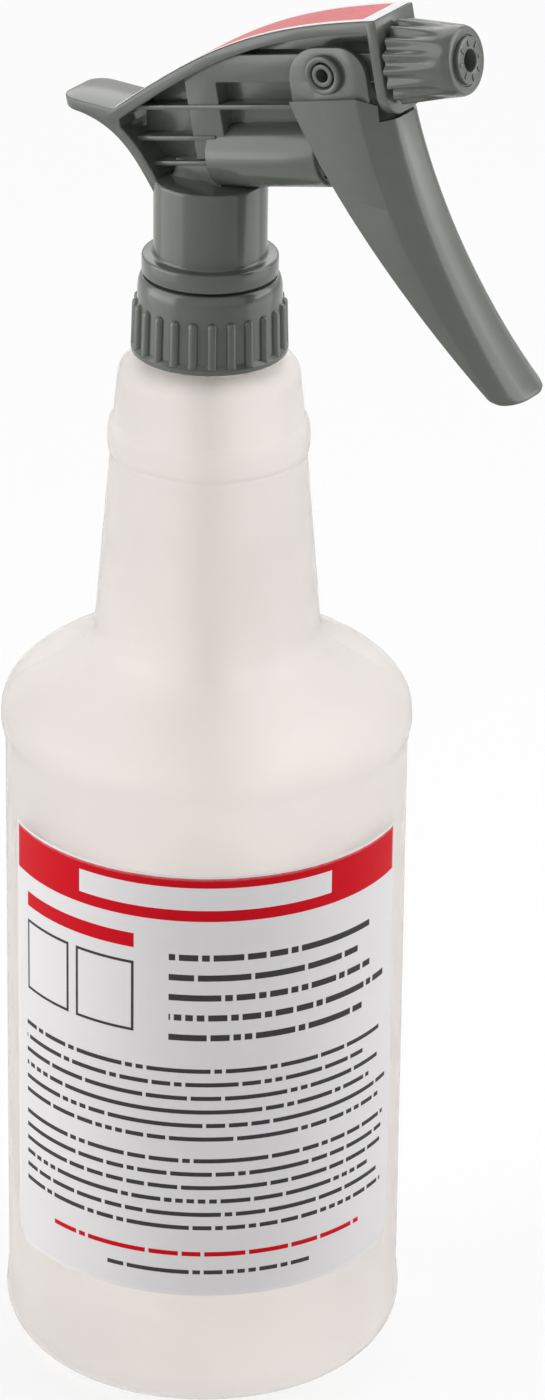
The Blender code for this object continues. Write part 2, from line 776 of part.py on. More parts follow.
def front_plate():
    """The upright plate behind the nozzle, square at the top and round at the bottom."""
    top = STRIP_FRONT_V - PLATE_TOP_DROP
    outline = [(HEAD_HALF_WIDTH, top), (-HEAD_HALF_WIDTH, top)]
    inset = HEAD_HALF_WIDTH - PLATE_CORNER
    low = PLATE_BOTTOM_V + PLATE_CORNER
    outline += arc((-inset, low), PLATE_CORNER, math.pi, 1.5 * math.pi, CURVE_STEPS // 2)
    outline += arc((inset, low), PLATE_CORNER, 1.5 * math.pi, 2 * math.pi, CURVE_STEPS // 2)
    made = slab("body_front_plate", outline, PLATE_THICK / 2)
    made.data.transform(
        Matrix.Translation((PLATE_FRONT_U - PLATE_THICK / 2, 0.0, 0.0))
        @ Matrix.Rotation(math.pi / 2, 4, "Z")
    )
    return made


def web_outline():
    """The thin wall on the middle plane, which runs a little way into every piece round it."""
    top = offset(strip_line(), -STRIP_THICK / 2)
    heel = offset(heel_line(), STRIP_THICK / 2)
    below_tail = [p for p in heel if p[0] > STRIP_REAR_U + STRIP_THICK]
    front = PLATE_FRONT_U - PLATE_THICK / 2
    outline = [p for p in top if STRIP_REAR_U + STRIP_THICK < p[0] < front]
    outline += [
        (front, outline[-1][1]),
        (front, 0.0),
        (PUMP_FRONT_U - 2 * PUMP_END_WALL, 0.0),
        (PUMP_FRONT_U - 2 * PUMP_END_WALL, PUMP_V),
        (PUMP_REAR_U + PUMP_END_WALL, PUMP_V),
        (PUMP_REAR_U, HEEL_V),
    ]
    return outline + below_tail[::-1]


def rib(name, v, rear, end):
    return block(
        name,
        (rear, -RIB_HALF_WIDTH, v - RIB_THICK / 2),
        (end, RIB_HALF_WIDTH, v + RIB_THICK / 2),
    )


def shank():
    """The round foot of the body: shank, collar, the neck inside the closure and the retaining flange."""
    profile = [
        (0.0, SHANK_TOP_Z),
        (SHANK_R - SHANK_EDGE, SHANK_TOP_Z),
        (SHANK_R - 0.3 * SHANK_EDGE, SHANK_TOP_Z - 0.3 * SHANK_EDGE),
        (SHANK_R, SHANK_TOP_Z - SHANK_EDGE),
        (SHANK_R, SHANK_Z),
        (COLLAR_R - COLLAR_EDGE, SHANK_Z),
        (COLLAR_R, SHANK_Z - COLLAR_EDGE),
        (COLLAR_R, COLLAR_Z + COLLAR_EDGE),
        (COLLAR_R - COLLAR_EDGE, COLLAR_Z),
        (SHANK_NECK_R, COLLAR_Z),
        (SHANK_NECK_R, FLANGE_Z + RETAINING_FLANGE_THICK),
        (RETAINING_FLANGE_R, FLANGE_Z + RETAINING_FLANGE_THICK),
        (RETAINING_FLANGE_R, FLANGE_Z),
        (0.0, FLANGE_Z),
    ]
    return baked(turned("body_shank", profile, BIG_STEPS))


def shank_hollow():
    """The ring-shaped hollow between the shank's wall and the tube in its middle."""
    outer = SHANK_NECK_R - SHANK_WALL
    top = SHANK_TOP_Z - SHANK_WALL
    profile = [(CORE_R, top), (outer, top), (outer, FLANGE_Z - PAST), (CORE_R, FLANGE_Z - PAST)]
    return baked(turned("cut_shank_hollow", profile, MID_STEPS, closed=True))


def inlet_neck():
    top = NOZZLE_Z + (RIB_3_V - RIB_THICK / 2) / math.cos(DECK_TILT) + OVERLAP
    profile = [
        (0.0, top),
        (INLET_NECK_R, top),
        (INLET_NECK_R, SHANK_TOP_Z + 1.6 * INLET_FLARE),
        (INLET_NECK_R + 0.3 * INLET_FLARE, SHANK_TOP_Z + 0.7 * INLET_FLARE),
        (INLET_NECK_R + INLET_FLARE, SHANK_TOP_Z + 0.05 * INLET_FLARE),
        (INLET_NECK_R + INLET_FLARE, SHANK_TOP_Z - OVERLAP),
        (0.0, SHANK_TOP_Z - OVERLAP),
    ]
    return baked(turned("body_inlet_neck", profile, MID_STEPS))


def inlet_height():
    """Where the sloping inlet passage crosses the bottle's axis."""
    return NOZZLE_Z + (PUMP_V - INLET_DROP) / math.cos(DECK_TILT)


def retainer_socket():
    """The bore for the tube retainer, and the inlet passage above it."""
    socket = RETAINER_R + SLIDE_GAP
    top = RETAINER_TOP_Z + SEAT_GAP
    crown = inlet_height() + 0.6 * INLET_PASSAGE_R
    profile = [
        (0.0, crown),
        (INLET_BORE_R, crown),
        (INLET_BORE_R, top),
        (socket, top),
        (socket, FLANGE_Z - PAST),
        (0.0, FLANGE_Z - PAST),
    ]
    return baked(turned("cut_retainer_socket", profile, MID_STEPS))


def discharge_bore():
    """The bore along the nozzle's axis, which widens into the outlet valve's chamber."""
    profile = [
        (0.0, BARREL_FRONT_U + PAST),
        (VALVE_CHAMBER_R, BARREL_FRONT_U + PAST),
        (VALVE_CHAMBER_R, VALVE_SEAT_U),
        (DISCHARGE_R, VALVE_SEAT_U),
        (DISCHARGE_R, RISER_U - RISER_R),
        (0.0, RISER_U - RISER_R),
    ]
    return baked(turned("cut_discharge", profile, SMALL_STEPS))


def barrel():
    nose = BARREL_FRONT_U - BARREL_NOSE_LENGTH
    profile = [
        (0.0, BARREL_FRONT_U),
        (BARREL_NOSE_R, BARREL_FRONT_U),
        (BARREL_NOSE_R, nose),
        (BARREL_R, nose),
        (BARREL_R, BARREL_REAR_U),
        (0.0, BARREL_REAR_U),
    ]
    return baked(turned("body_barrel", profile, MID_STEPS))


def make_body(parent, deck, pump, pivot):
    made = place(slab("sprayer_body", side_outline(), HEAD_HALF_WIDTH), deck)
    middle = offset(heel_line(), STRIP_THICK / 2)
    under_strip = offset(strip_line(), -STRIP_THICK / 2)[::-1]
    frame_pieces = [
        front_plate(),
        slab("body_web", web_outline(), WEB_HALF),
        rib("body_rib_1", RIB_1_V, height_on(under_strip, RIB_1_V), RIB_1_END_U),
        rib("body_rib_2", RIB_2_V, height_on(middle, RIB_2_V), RIB_SHORT_END_U),
        rib("body_rib_3", RIB_3_V, height_on(middle, RIB_3_V), RIB_SHORT_END_U),
        slab("body_pillar", pillar_outline(), BAR_HALF_WIDTH),
    ]
    join(made, *[place(piece, deck) for piece in frame_pieces])
    join(
        made,
        place(rod("body_pump", PUMP_R, (PUMP_REAR_U, 0, 0), (PUMP_FRONT_U, 0, 0), BIG_STEPS), pump),
        place(barrel(), deck, rotation=SQUARE_TO_DECK),
        place(trunnions(), pivot),
        place(shank(), parent),
        place(inlet_neck(), parent),
        place(inlet_bridge("body_inlet_bridge", INLET_BRIDGE_R, OVERLAP), pump),
    )
    cut(
        made,
        place(shank_hollow(), parent),
        place(retainer_socket(), parent),
        place(pump_bore(), pump),
        place(inlet_bridge("cut_inlet", INLET_PASSAGE_R, PUMP_END_WALL + OVERLAP), pump),
        place(rod("cut_riser", RISER_R, (RISER_U, 0, PUMP_V), (RISER_U, 0, 0), SMALL_STEPS), deck),
        place(discharge_bore(), deck, rotation=SQUARE_TO_DECK),
        *[place(piece, pivot) for piece in trunnion_bores()],
        *[place(piece, deck) for piece in tail_corners()],
    )
    low = PLATE_FRONT_U + NOZZLE_THREAD_SET_IN
    thread = wire(
        "body_nozzle_thread",
        helix(BARREL_R, NOZZLE_PITCH, NOZZLE_THREAD_TURNS, low, SMALL_STEPS),
        NOZZLE_RIDGE_R,
    )
    join(made, place(thread, deck, rotation=SQUARE_TO_DECK))
    return finish(made, GREY_PLASTIC)


def pillar_outline():
    """The upright liquid channel and the bar that carries the liquid on to the nozzle, as one L."""
    front = PLATE_FRONT_U - PLATE_THICK / 2
    under_strip = offset(strip_line(), -STRIP_THICK / 2)
    level = height_on(under_strip[::-1], BAR_HALF_HEIGHT)
    return trimmed(under_strip, PILLAR_REAR_U, level) + [
        (front, BAR_HALF_HEIGHT),
        (front, -BAR_HALF_HEIGHT),
        (PILLAR_FRONT_U, -BAR_HALF_HEIGHT),
        (PILLAR_FRONT_U, PUMP_V),
        (PILLAR_REAR_U, PUMP_V),
    ]


def pump_bore():
    """The cut that opens the pump's cylinder at its front."""
    return rod("cut_pump", PUMP_BORE_R, (PUMP_BORE_U, 0, 0), (PUMP_FRONT_U + PAST, 0, 0), MID_STEPS)


def inlet_bridge(name, radius, into_pump):
    """A round shape from the bottle's axis to the pump's end wall, below the pump's axis."""
    start = (PUMP_V - INLET_DROP) * math.tan(DECK_TILT) - 0.5 * INLET_BORE_R
    end = (PUMP_REAR_U + into_pump, 0, -INLET_DROP)
    return rod(name, radius, (start, 0, -INLET_DROP), end, SMALL_STEPS)


def trunnions():
    end = TRIGGER_HALF_WIDTH - TRUNNION_SET_IN
    return rod("body_trunnions", TRUNNION_R, (0, -end, 0), (0, end, 0), MID_STEPS)


def trunnion_bores():
    bores = []
    for side, name in ((-1, "cut_trunnion_right"), (1, "cut_trunnion_left")):
        start = (0, side * (TRIGGER_HALF_WIDTH - TRUNNION_BORE_DEPTH), 0)
        end = (0, side * (TRIGGER_HALF_WIDTH + PAST), 0)
        bores.append(rod(name, TRUNNION_BORE_R, start, end, SMALL_STEPS))
    return bores


def tail_corners():
    """Cutters that round the tail's two outer corners, seen from above."""
    corners = []
    for side, name in ((-1, "cut_tail_right"), (1, "cut_tail_left")):
        edge = side * HEAD_HALF_WIDTH
        past = side * (HEAD_HALF_WIDTH + PAST)
        centre = (TAIL_U + TAIL_CORNER, edge - side * TAIL_CORNER)
        turn = arc(centre, TAIL_CORNER, math.pi, math.pi - side * math.pi / 2, CURVE_STEPS)
        outline = [(TAIL_U - PAST, centre[1])] + turn + [(centre[0], past), (TAIL_U - PAST, past)]
        bm = bmesh.new()
        face = bm.faces.new([bm.verts.new((x, y, TAIL_V - 2 * STRIP_THICK)) for x, y in outline])
        raised = bmesh.ops.extrude_face_region(bm, geom=[face])["geom"]
        bmesh.ops.translate(
            bm,
            vec=(0.0, 0.0, 5 * STRIP_THICK),
            verts=[v for v in raised if isinstance(v, bmesh.types.BMVert)],
        )
        corners.append(from_bmesh(name, bm))
    return corners


def make_top_label(deck):
    span = trimmed(strip_line(), STRIP_REAR_U + TOP_LABEL_SET_BACK, PLATE_FRONT_U - TOP_LABEL_SET_BACK)
    outline = band(offset(span, SKIN_GAP), TOP_LABEL_THICK)
    made = slab("top_label", outline, HEAD_HALF_WIDTH - TOP_LABEL_MARGIN)
    return finish(place(made, deck), RED_FILM)


def trigger_rings(first, last, outer):
    """Sections across the trigger, from its top to its tip: the outer form, or the channel inside it."""
    rings = []
    for i in range(TRIGGER_STATIONS):
        t = first + (last - first) * i / (TRIGGER_STATIONS - 1)
        front = Vector(bezier_at(TRIGGER_FRONT_LINE, t))
        cheek = Vector(bezier_at(TRIGGER_CHEEK_LINE, t))
        rear = Vector(bezier_at(TRIGGER_REAR_LINE, t))
        half, front_half = TRIGGER_HALF_WIDTH, TRIGGER_FRONT_HALF
        if not outer:
            back = (rear - front).normalized()
            front += TRIGGER_FRONT_WALL * back
            cheek += 0.5 * TRIGGER_FRONT_WALL * back
            rear += 2 * PAST * back
            half -= TRIGGER_CHEEK
            front_half -= 0.6 * TRIGGER_CHEEK
        rings.append([
            (rear.x, -half, rear.y),
            (cheek.x, -half, cheek.y),
            (front.x, -front_half, front.y),
            (front.x, front_half, front.y),
            (cheek.x, half, cheek.y),
            (rear.x, half, rear.y),
        ])
    return rings


def ear_outline():
    """One ear of the trigger round its pivot, with a foot that runs down inside the cheek."""
    top = EAR_TOP - EAR_CORNER
    outline = [(EAR_REAR, EAR_FOOT), (EAR_FRONT - EAR_FOOT_TAPER, EAR_FOOT)]
    outline += [(EAR_FRONT, EAR_FOOT + 2 * EAR_FOOT_TAPER)]
    outline += arc((EAR_FRONT - EAR_CORNER, top), EAR_CORNER, 0.0, math.pi / 2, CURVE_STEPS)
    outline += arc((EAR_REAR + EAR_CORNER, top), EAR_CORNER, math.pi / 2, math.pi, CURVE_STEPS)
    return outline


def make_trigger(pivot):
    made = place(loft("trigger", trigger_rings(0.0, 1.0, True)), pivot)
    channel = trigger_rings(-TRIGGER_CHANNEL_RUN_ON, 1.0 - TRIGGER_TIP_SOLID, False)
    cut(made, place(loft("cut_trigger_channel", channel), pivot))
    notch = block(
        "cut_trigger_notch",
        (PLATE_FRONT_U - PLATE_THICK - TRIGGER_NOTCH_GAP - PIVOT_U, -2 * TRIGGER_HALF_WIDTH,
         PLATE_BOTTOM_V - TRIGGER_NOTCH_GAP - PIVOT_V),
        (PLATE_FRONT_U, 2 * TRIGGER_HALF_WIDTH, 0.0),
    )
    cut(made, place(notch, pivot))
    ear_outer = EAR_INNER_Y + EAR_THICK
    for side, name in ((-1, "right"), (1, "left")):
        ear = slab(f"trigger_ear_{name}", ear_outline(), EAR_THICK / 2)
        place(ear, pivot, location=(0.0, side * (EAR_INNER_Y + EAR_THICK / 2), 0.0))
        inside = side * (ear_outer - OVERLAP)
        outside = side * (ear_outer + BOSS_RISE)
        boss = rod(f"trigger_boss_{name}", BOSS_R, (0, inside, 0), (0, outside, 0), MID_STEPS)
        join(made, ear, place(boss, pivot))
    hole = TRUNNION_R + EAR_HOLE_CLEARANCE
    for side, name in ((-1, "right"), (1, "left")):
        start = (0, side * (EAR_INNER_Y - PAST), 0)
        end = (0, side * (TRIGGER_HALF_WIDTH + PAST), 0)
        cut(made, place(rod(f"cut_ear_{name}", hole, start, end, MID_STEPS), pivot))
    reach = CHEEK_INNER_Y + OVERLAP
    at = (PIN_U - PIVOT_U, -PIN_DROP)
    pin = rod("trigger_pin", PIN_R, (at[0], -reach, at[1]), (at[0], reach, at[1]), SMALL_STEPS)
    join(made, place(pin, pivot))
    return finish(made, GREY_PLASTIC)


def make_piston(pump):
    front = PISTON_U + PISTON_LENGTH
    near = front - SEAL_SET_IN
    far = PISTON_U + SEAL_SET_IN
    hook_rear = PIN_U - HOOK_BEHIND
    profile = [
        (0.0, PIN_U + HOOK_AHEAD),
        (HOOK_R, PIN_U + HOOK_AHEAD),
        (HOOK_R, hook_rear),
        (PISTON_ROD_R, hook_rear),
        (PISTON_ROD_R, front),
        (PISTON_R, front),
        (PISTON_R, near),
        (SEAL_GROOVE_R, near),
        (SEAL_GROOVE_R, near - SEAL_GROOVE_WIDTH),
        (PISTON_R, near - SEAL_GROOVE_WIDTH),
        (PISTON_R, far + SEAL_GROOVE_WIDTH),
        (SEAL_GROOVE_R, far + SEAL_GROOVE_WIDTH),
        (SEAL_GROOVE_R, far),
        (PISTON_R, far),
        (PISTON_R, PISTON_U),
        (SPIGOT_R, PISTON_U),
        (SPIGOT_R, PISTON_U - SPIGOT_LENGTH),
        (0.0, PISTON_U - SPIGOT_LENGTH),
    ]
    made = place(baked(turned("piston", profile, MID_STEPS)), pump, rotation=SQUARE_TO_DECK)
    # The pin swings a little above and below the piston's axis, so the slot is taller than it is long.
    swing = PIN_DROP / math.cos(TRIGGER_HALF_TRAVEL) - PIN_DROP
    half = PIN_R + SLIDE_GAP
    tall = half + swing
    slot = block("cut_hook_slot", (PIN_U - half, -2 * HOOK_R, -tall), (PIN_U + half, 2 * HOOK_R, tall))
    mouth = block(
        "cut_hook_mouth",
        (PIN_U, -2 * HOOK_R, -HOOK_MOUTH_HALF),
        (PIN_U + HOOK_AHEAD + PAST, 2 * HOOK_R, HOOK_MOUTH_HALF),
    )
    cut(made, place(slot, pump), place(mouth, pump))
    return finish(made, WHITE_PLASTIC)


def make_seal(name, pump, low, lip_forward):
    """A cup seal in one of the piston's grooves, with a lip that leans to the side it holds."""
    inner = SEAL_GROOVE_R + SEAT_GAP
    outer = PUMP_BORE_R - SEAT_GAP
    bottom = low + SEAT_GAP
    top = low + SEAL_GROOVE_WIDTH - SEAT_GAP
    waist = outer - SEAL_LIP
    if lip_forward:
        profile = [(inner, top), (outer, top), (waist, bottom), (inner, bottom)]
    else:
        profile = [(inner, top), (waist, top), (outer, bottom), (inner, bottom)]
    made = turned(name, profile, MID_STEPS, closed=True)
    return finish(place(made, pump, rotation=SQUARE_TO_DECK), DARK_RUBBER)


def make_springs(pump, deck):
    length = SPRING_SPACE - 2 * SEAT_GAP
    made = coil("return_spring", SPRING_COIL_R, SPRING_WIRE_R, SPRING_TURNS, length)
    finish(place(made, pump, (PUMP_BORE_U + SEAT_GAP, 0.0, 0.0), SQUARE_TO_DECK), STEEL)
    touch = outlet_ball_u() + math.sqrt(OUTLET_BALL_R ** 2 - OUTLET_COIL_R ** 2) + SEAT_GAP
    made = coil("outlet_spring", OUTLET_COIL_R, OUTLET_WIRE_R, OUTLET_TURNS, SPINNER_U - SEAT_GAP - touch)
    finish(place(made, deck, (touch, 0.0, 0.0), SQUARE_TO_DECK), STEEL)


def seated(ball_radius, seat_radius):
    """How far a ball's middle stands off the edge of the hole that it closes."""
    return math.sqrt(ball_radius ** 2 - seat_radius ** 2) + SEAT_GAP / 2


def outlet_ball_u():
    return VALVE_SEAT_U + seated(OUTLET_BALL_R, DISCHARGE_R)


def make_retainer(parent):
    socket = DIP_TUBE_R + SLIDE_GAP
    socket_top = RETAINER_Z + RETAINER_SOCKET_DEPTH
    lip = FLANGE_Z - SEAT_GAP
    profile = [
        (RETAINER_CAGE_R, RETAINER_TOP_Z),
        (RETAINER_R, RETAINER_TOP_Z),
        (RETAINER_R, lip),
        (RETAINER_LIP_R, lip),
        (RETAINER_LIP_R, lip - RETAINER_LIP_THICK),
        (RETAINER_R, lip - RETAINER_LIP_THICK),
        (RETAINER_R, RETAINER_Z),
        (socket, RETAINER_Z),
        (socket, socket_top),
        (INLET_SEAT_R, socket_top),
        (INLET_SEAT_R, SEAT_Z),
        (RETAINER_CAGE_R, SEAT_Z),
    ]
    return finish(place(turned("tube_retainer", profile, MID_STEPS, closed=True), parent), WHITE_PLASTIC)


def make_dip_tube(parent):
    top = RETAINER_Z + RETAINER_SOCKET_DEPTH - SEAT_GAP
    profile = [
        (DIP_TUBE_BORE_R, top),
        (DIP_TUBE_R, top),
        (DIP_TUBE_R, DIP_TUBE_FOOT_Z),
        (DIP_TUBE_BORE_R, DIP_TUBE_FOOT_Z),
    ]
    return finish(place(turned("dip_tube", profile, SMALL_STEPS, closed=True), parent), CLEAR_TUBE)


def make_balls(parent, deck):
    height = SEAT_Z + seated(INLET_BALL_R, INLET_SEAT_R)
    inlet = place(ball("inlet_ball", INLET_BALL_R), parent, (0.0, 0.0, height))
    outlet = place(ball("outlet_ball", OUTLET_BALL_R), deck, (outlet_ball_u(), 0.0, 0.0))
    finish(inlet, STEEL)
    finish(outlet, STEEL)


def make_spinner(deck):
    stem = VALVE_CHAMBER_R - SLIDE_GAP
    head = BARREL_FRONT_U + SEAT_GAP
    profile = [
        (0.0, head + SPINNER_HEAD_THICK),
        (SPINNER_HEAD_R, head + SPINNER_HEAD_THICK),
        (SPINNER_HEAD_R, head),
        (stem, head),
        (stem, SPINNER_U),
        (0.0, SPINNER_U),
    ]
    made = place(baked(turned("spinner", profile, MID_STEPS)), deck, rotation=SQUARE_TO_DECK)
    for i in range(SPINNER_GROOVES):
        groove = block(
            f"cut_spinner_groove_{i + 1}",
            (SPINNER_U - PAST, -SPINNER_GROOVE / 2, stem - SPINNER_GROOVE),
            (head + SPINNER_HEAD_THICK + PAST, SPINNER_GROOVE / 2, SPINNER_HEAD_R + PAST),
        )
        cut(made, place(groove, deck, rotation=(2 * math.pi * i / SPINNER_GROOVES, 0.0, 0.0)))
    return finish(made, WHITE_PLASTIC)


def oring_u():
    return NOZZLE_INNER_U - ORING_SET_BACK - ORING_WIRE_R - SEAT_GAP


def make_oring(deck):
    ring = BARREL_NOSE_R + SLIDE_GAP + ORING_WIRE_R
    profile = arc((ring, 0.0), ORING_WIRE_R, math.pi / 2, -1.5 * math.pi, CURVE_STEPS)[:-1]
    made = turned("nozzle_oring", profile, MID_STEPS, closed=True)
    return finish(place(made, deck, (oring_u(), 0.0, 0.0), SQUARE_TO_DECK), DARK_RUBBER)


def nozzle_bore():
    """The nozzle's inside: the bore with the ring's groove, the orifice and the hole in its face."""
    inner = NOZZLE_INNER_U - NOZZLE_U
    ring = oring_u() - NOZZLE_U
    groove = ORING_WIRE_R + SEAT_GAP
    top = NOZZLE_LENGTH + NOZZLE_DISC_RISE
    profile = [
        (0.0, top + PAST),
        (NOZZLE_HOLE_R, top + PAST),
        (NOZZLE_HOLE_R, top - NOZZLE_HOLE_DEPTH),
        (ORIFICE_R, top - NOZZLE_HOLE_DEPTH),
        (ORIFICE_R, inner),
        (NOZZLE_BORE_R, inner),
        (NOZZLE_BORE_R, ring + groove),
        (NOZZLE_BORE_R + ORING_GROOVE_DEPTH, ring + groove),
        (NOZZLE_BORE_R + ORING_GROOVE_DEPTH, ring - groove),
        (NOZZLE_BORE_R, ring - groove),
        (NOZZLE_BORE_R, -PAST),
        (0.0, -PAST),
    ]
    return baked(turned("cut_nozzle_bore", profile, MID_STEPS))


def make_nozzle(deck):
    disc = NOZZLE_LENGTH + NOZZLE_DISC_RISE
    profile = [
        (0.0, disc),
        (NOZZLE_DISC_R, disc),
        (NOZZLE_DISC_R, NOZZLE_LENGTH),
        (NOZZLE_FRONT_R, NOZZLE_LENGTH),
    ]
    for share in (0.8, 0.53, 0.26, 0.0):
        profile.append((NOZZLE_REAR_R + (NOZZLE_FRONT_R - NOZZLE_REAR_R) * share, NOZZLE_LENGTH * share))
    profile.append((0.0, 0.0))
    made = baked(turned("nozzle", profile, FLUTES * FLUTE_STEPS))
    for vert in made.data.vertices:
        radius = math.hypot(vert.co.x, vert.co.y)
        if radius < NOZZLE_FRONT_R or vert.co.z > FLUTE_END:
            continue
        depth = FLUTE_DEPTH * (1 - vert.co.z / FLUTE_END)
        wave = (1 - math.cos(FLUTES * math.atan2(vert.co.y, vert.co.x))) / 2
        shrink = 1 - depth * wave / radius
        vert.co.x *= shrink
        vert.co.y *= shrink
    at = (NOZZLE_U, 0.0, 0.0)
    place(made, deck, at, SQUARE_TO_DECK)
    cut(made, place(nozzle_bore(), deck, at, SQUARE_TO_DECK))
    low = NOZZLE_THREAD_SET_IN - NOZZLE_GAP + NOZZLE_PITCH / 2
    thread = wire(
        "nozzle_thread",
        helix(NOZZLE_BORE_R, NOZZLE_PITCH, NOZZLE_THREAD_TURNS, low, SMALL_STEPS),
        NOZZLE_RIDGE_R,
    )
    join(made, place(thread, deck, at, SQUARE_TO_DECK))
    return finish(made, GREY_PLASTIC)


def main():
    stand = frame("stand", None, (0.0, 0.0, 0.0))
    deck = frame("deck_frame", stand, (0.0, 0.0, NOZZLE_Z), (0.0, -DECK_TILT, 0.0))
    pump = frame("pump_axis", deck, (0.0, 0.0, PUMP_V))
    pivot = frame("trigger_pivot", deck, (PIVOT_U, 0.0, PIVOT_V))
    make_bottle(stand)
    make_bottle_label(stand)
    make_closure(stand)
    make_gasket(stand)
    make_body(stand, deck, pump, pivot)
    make_top_label(deck)
    make_trigger(pivot)
    make_piston(pump)
    make_seal("piston_cup", pump, PISTON_U + SEAL_SET_IN, False)
    make_seal("piston_wiper", pump, PISTON_U + PISTON_LENGTH - SEAL_SET_IN - SEAL_GROOVE_WIDTH, True)
    make_springs(pump, deck)
    make_retainer(stand)
    make_dip_tube(stand)
    make_balls(stand, deck)
    make_spinner(deck)
    make_oring(deck)
    make_nozzle(deck)
    bpy.context.view_layer.update()


clear_scene()
PARTS = new_collection("trigger_spray_bottle")
CUTTERS = new_collection("cutters", hidden=True)
HDPE = new_material("natural_hdpe", (0.72, 0.68, 0.64), 0.45)
LABEL_PAPER = new_material("label_film", (0.68, 0.67, 0.68), 0.5)
RED_FILM = new_material("red_film", (0.66, 0.05, 0.05), 0.35)
GREY_PLASTIC = new_material("grey_plastic", (0.165, 0.176, 0.155), 0.38)
WHITE_PLASTIC = new_material("white_plastic", (0.78, 0.78, 0.76), 0.4)
SOFT_WHITE = new_material("gasket_foam", (0.74, 0.73, 0.70), 0.7)
DARK_RUBBER = new_material("dark_rubber", (0.03, 0.03, 0.03), 0.6)
CLEAR_TUBE = new_material("tube_plastic", (0.80, 0.80, 0.78), 0.3)
STEEL = new_material("spring_steel", (0.55, 0.55, 0.56), 0.25, 1.0)
main()
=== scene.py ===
import logging
import math
from collections.abc import Callable, Iterable, Sequence
from dataclasses import dataclass
from enum import Enum

import bmesh
import bpy
from bmesh.types import BMEdge, BMFace, BMVert
from bpy.types import Material, Mesh, Node, NodeSocket, NodeTree, Object, World
from mathutils import Matrix, Vector


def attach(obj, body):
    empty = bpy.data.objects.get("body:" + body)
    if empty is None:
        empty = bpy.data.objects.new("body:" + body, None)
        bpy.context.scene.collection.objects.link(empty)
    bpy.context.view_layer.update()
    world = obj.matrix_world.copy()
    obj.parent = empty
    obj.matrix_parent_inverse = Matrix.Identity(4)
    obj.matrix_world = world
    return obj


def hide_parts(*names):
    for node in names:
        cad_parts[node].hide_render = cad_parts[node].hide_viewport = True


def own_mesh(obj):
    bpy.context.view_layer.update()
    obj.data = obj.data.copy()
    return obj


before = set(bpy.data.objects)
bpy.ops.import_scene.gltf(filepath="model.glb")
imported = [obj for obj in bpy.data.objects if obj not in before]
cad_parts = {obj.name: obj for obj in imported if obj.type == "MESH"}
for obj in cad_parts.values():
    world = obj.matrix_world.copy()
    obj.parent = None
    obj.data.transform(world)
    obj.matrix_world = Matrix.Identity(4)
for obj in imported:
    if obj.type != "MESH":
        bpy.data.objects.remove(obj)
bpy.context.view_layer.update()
LOG = logging.getLogger("spray_bottle")

# A point is a place along and up, a radius and a height, or the two ends of a range
Point = tuple[float, float]
Place = tuple[float, float, float]
Colour = tuple[float, float, float]
Line = list[Point]
Geometry = list[BMVert | BMEdge | BMFace]
FULL_TURN = 2 * math.pi
QUARTER = math.pi / 2
WELD = 1e-6
ROOM = 0.45  # Share of a straight run that one corner's rounding may take


class Body(Enum):
    """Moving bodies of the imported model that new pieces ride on."""

    BOTTLE = "bottle"
    CLOSURE = "closure"
    SPRAYER = "sprayer"
    TRIGGER = "trigger"
    NOZZLE = "nozzle"


class Slot(Enum):
    """Material slots of the record."""

    MILKY = "natural_hdpe"
    LABEL = "label_film"
    RED = "red_film"
    GREY = "grey_plastic"
    WHITE = "white_plastic"
    FOAM = "gasket_foam"
    RUBBER = "dark_rubber"
    TUBE = "tube_plastic"
    STEEL = "spring_steel"


def cubic(corners: Sequence[Point], steps: int) -> Line:
    """Points along a cubic curve.

    Args:
        corners: The start, its handle, the end's handle and the end.
        steps: Number of steps.

    Returns:
        The points, both ends included.
    """
    points: Line = []
    for i in range(steps + 1):
        t = i / steps
        weights = ((1 - t) ** 3, 3 * t * (1 - t) ** 2, 3 * t * t * (1 - t), t ** 3)
        x, y = (sum(w * p[axis] for w, p in zip(weights, corners)) for axis in (0, 1))
        points.append((x, y))
    return points


def arc(centre: Point, radius: float, start: float, end: float, steps: int) -> Line:
    """Points on a circle's arc between two angles in radians, both ends included."""
    angles = [start + (end - start) * i / steps for i in range(steps + 1)]
    return [(centre[0] + radius * math.cos(a), centre[1] + radius * math.sin(a)) for a in angles]


def beside(line: Sequence[Point], distance: float) -> Line:
    """An open line moved sideways to its left, with mitred corners.

    Args:
        line: Points of the line.
        distance: How far it moves; a negative value moves it to the right.

    Returns:
        The moved points.
    """
    normals = []
    for a, b in zip(line, line[1:]):
        length = math.hypot(b[0] - a[0], b[1] - a[1])
        normals.append(((a[1] - b[1]) / length, (b[0] - a[0]) / length))
    moved: Line = []
    for i, point in enumerate(line):
        before = normals[max(i - 1, 0)]
        after = normals[min(i, len(normals) - 1)]
        share = distance / (1 + before[0] * after[0] + before[1] * after[1])
        moved.append((
            point[0] + share * (before[0] + after[0]),
            point[1] + share * (before[1] + after[1]),
        ))
    return moved


def eased(line: Sequence[Point], radius: float, steps: int = 3, closed: bool = False) -> Line:
    """A line of straight runs with its corners rounded.

    Args:
        line: Corner points.
        radius: How far each rounding reaches from its corner, where there is room.
        steps: Steps in each rounding.
        closed: Whether the last corner joins the first.

    Returns:
        The rounded line.
    """
    count = len(line)
    points: Line = []
    for i, corner in enumerate(line):
        if not closed and i in (0, count - 1):
            points.append(corner)
            continue
        here = Vector(corner)
        back = Vector(line[i - 1]) - here
        ahead = Vector(line[(i + 1) % count]) - here
        reach = min(radius, ROOM * back.length, ROOM * ahead.length)
        first = here + reach * back.normalized()
        last = here + reach * ahead.normalized()
        for k in range(steps + 1):
            t = k / steps
            spot = (1 - t) ** 2 * first + 2 * t * (1 - t) * here + t * t * last
            points.append((spot.x, spot.y))
    return points


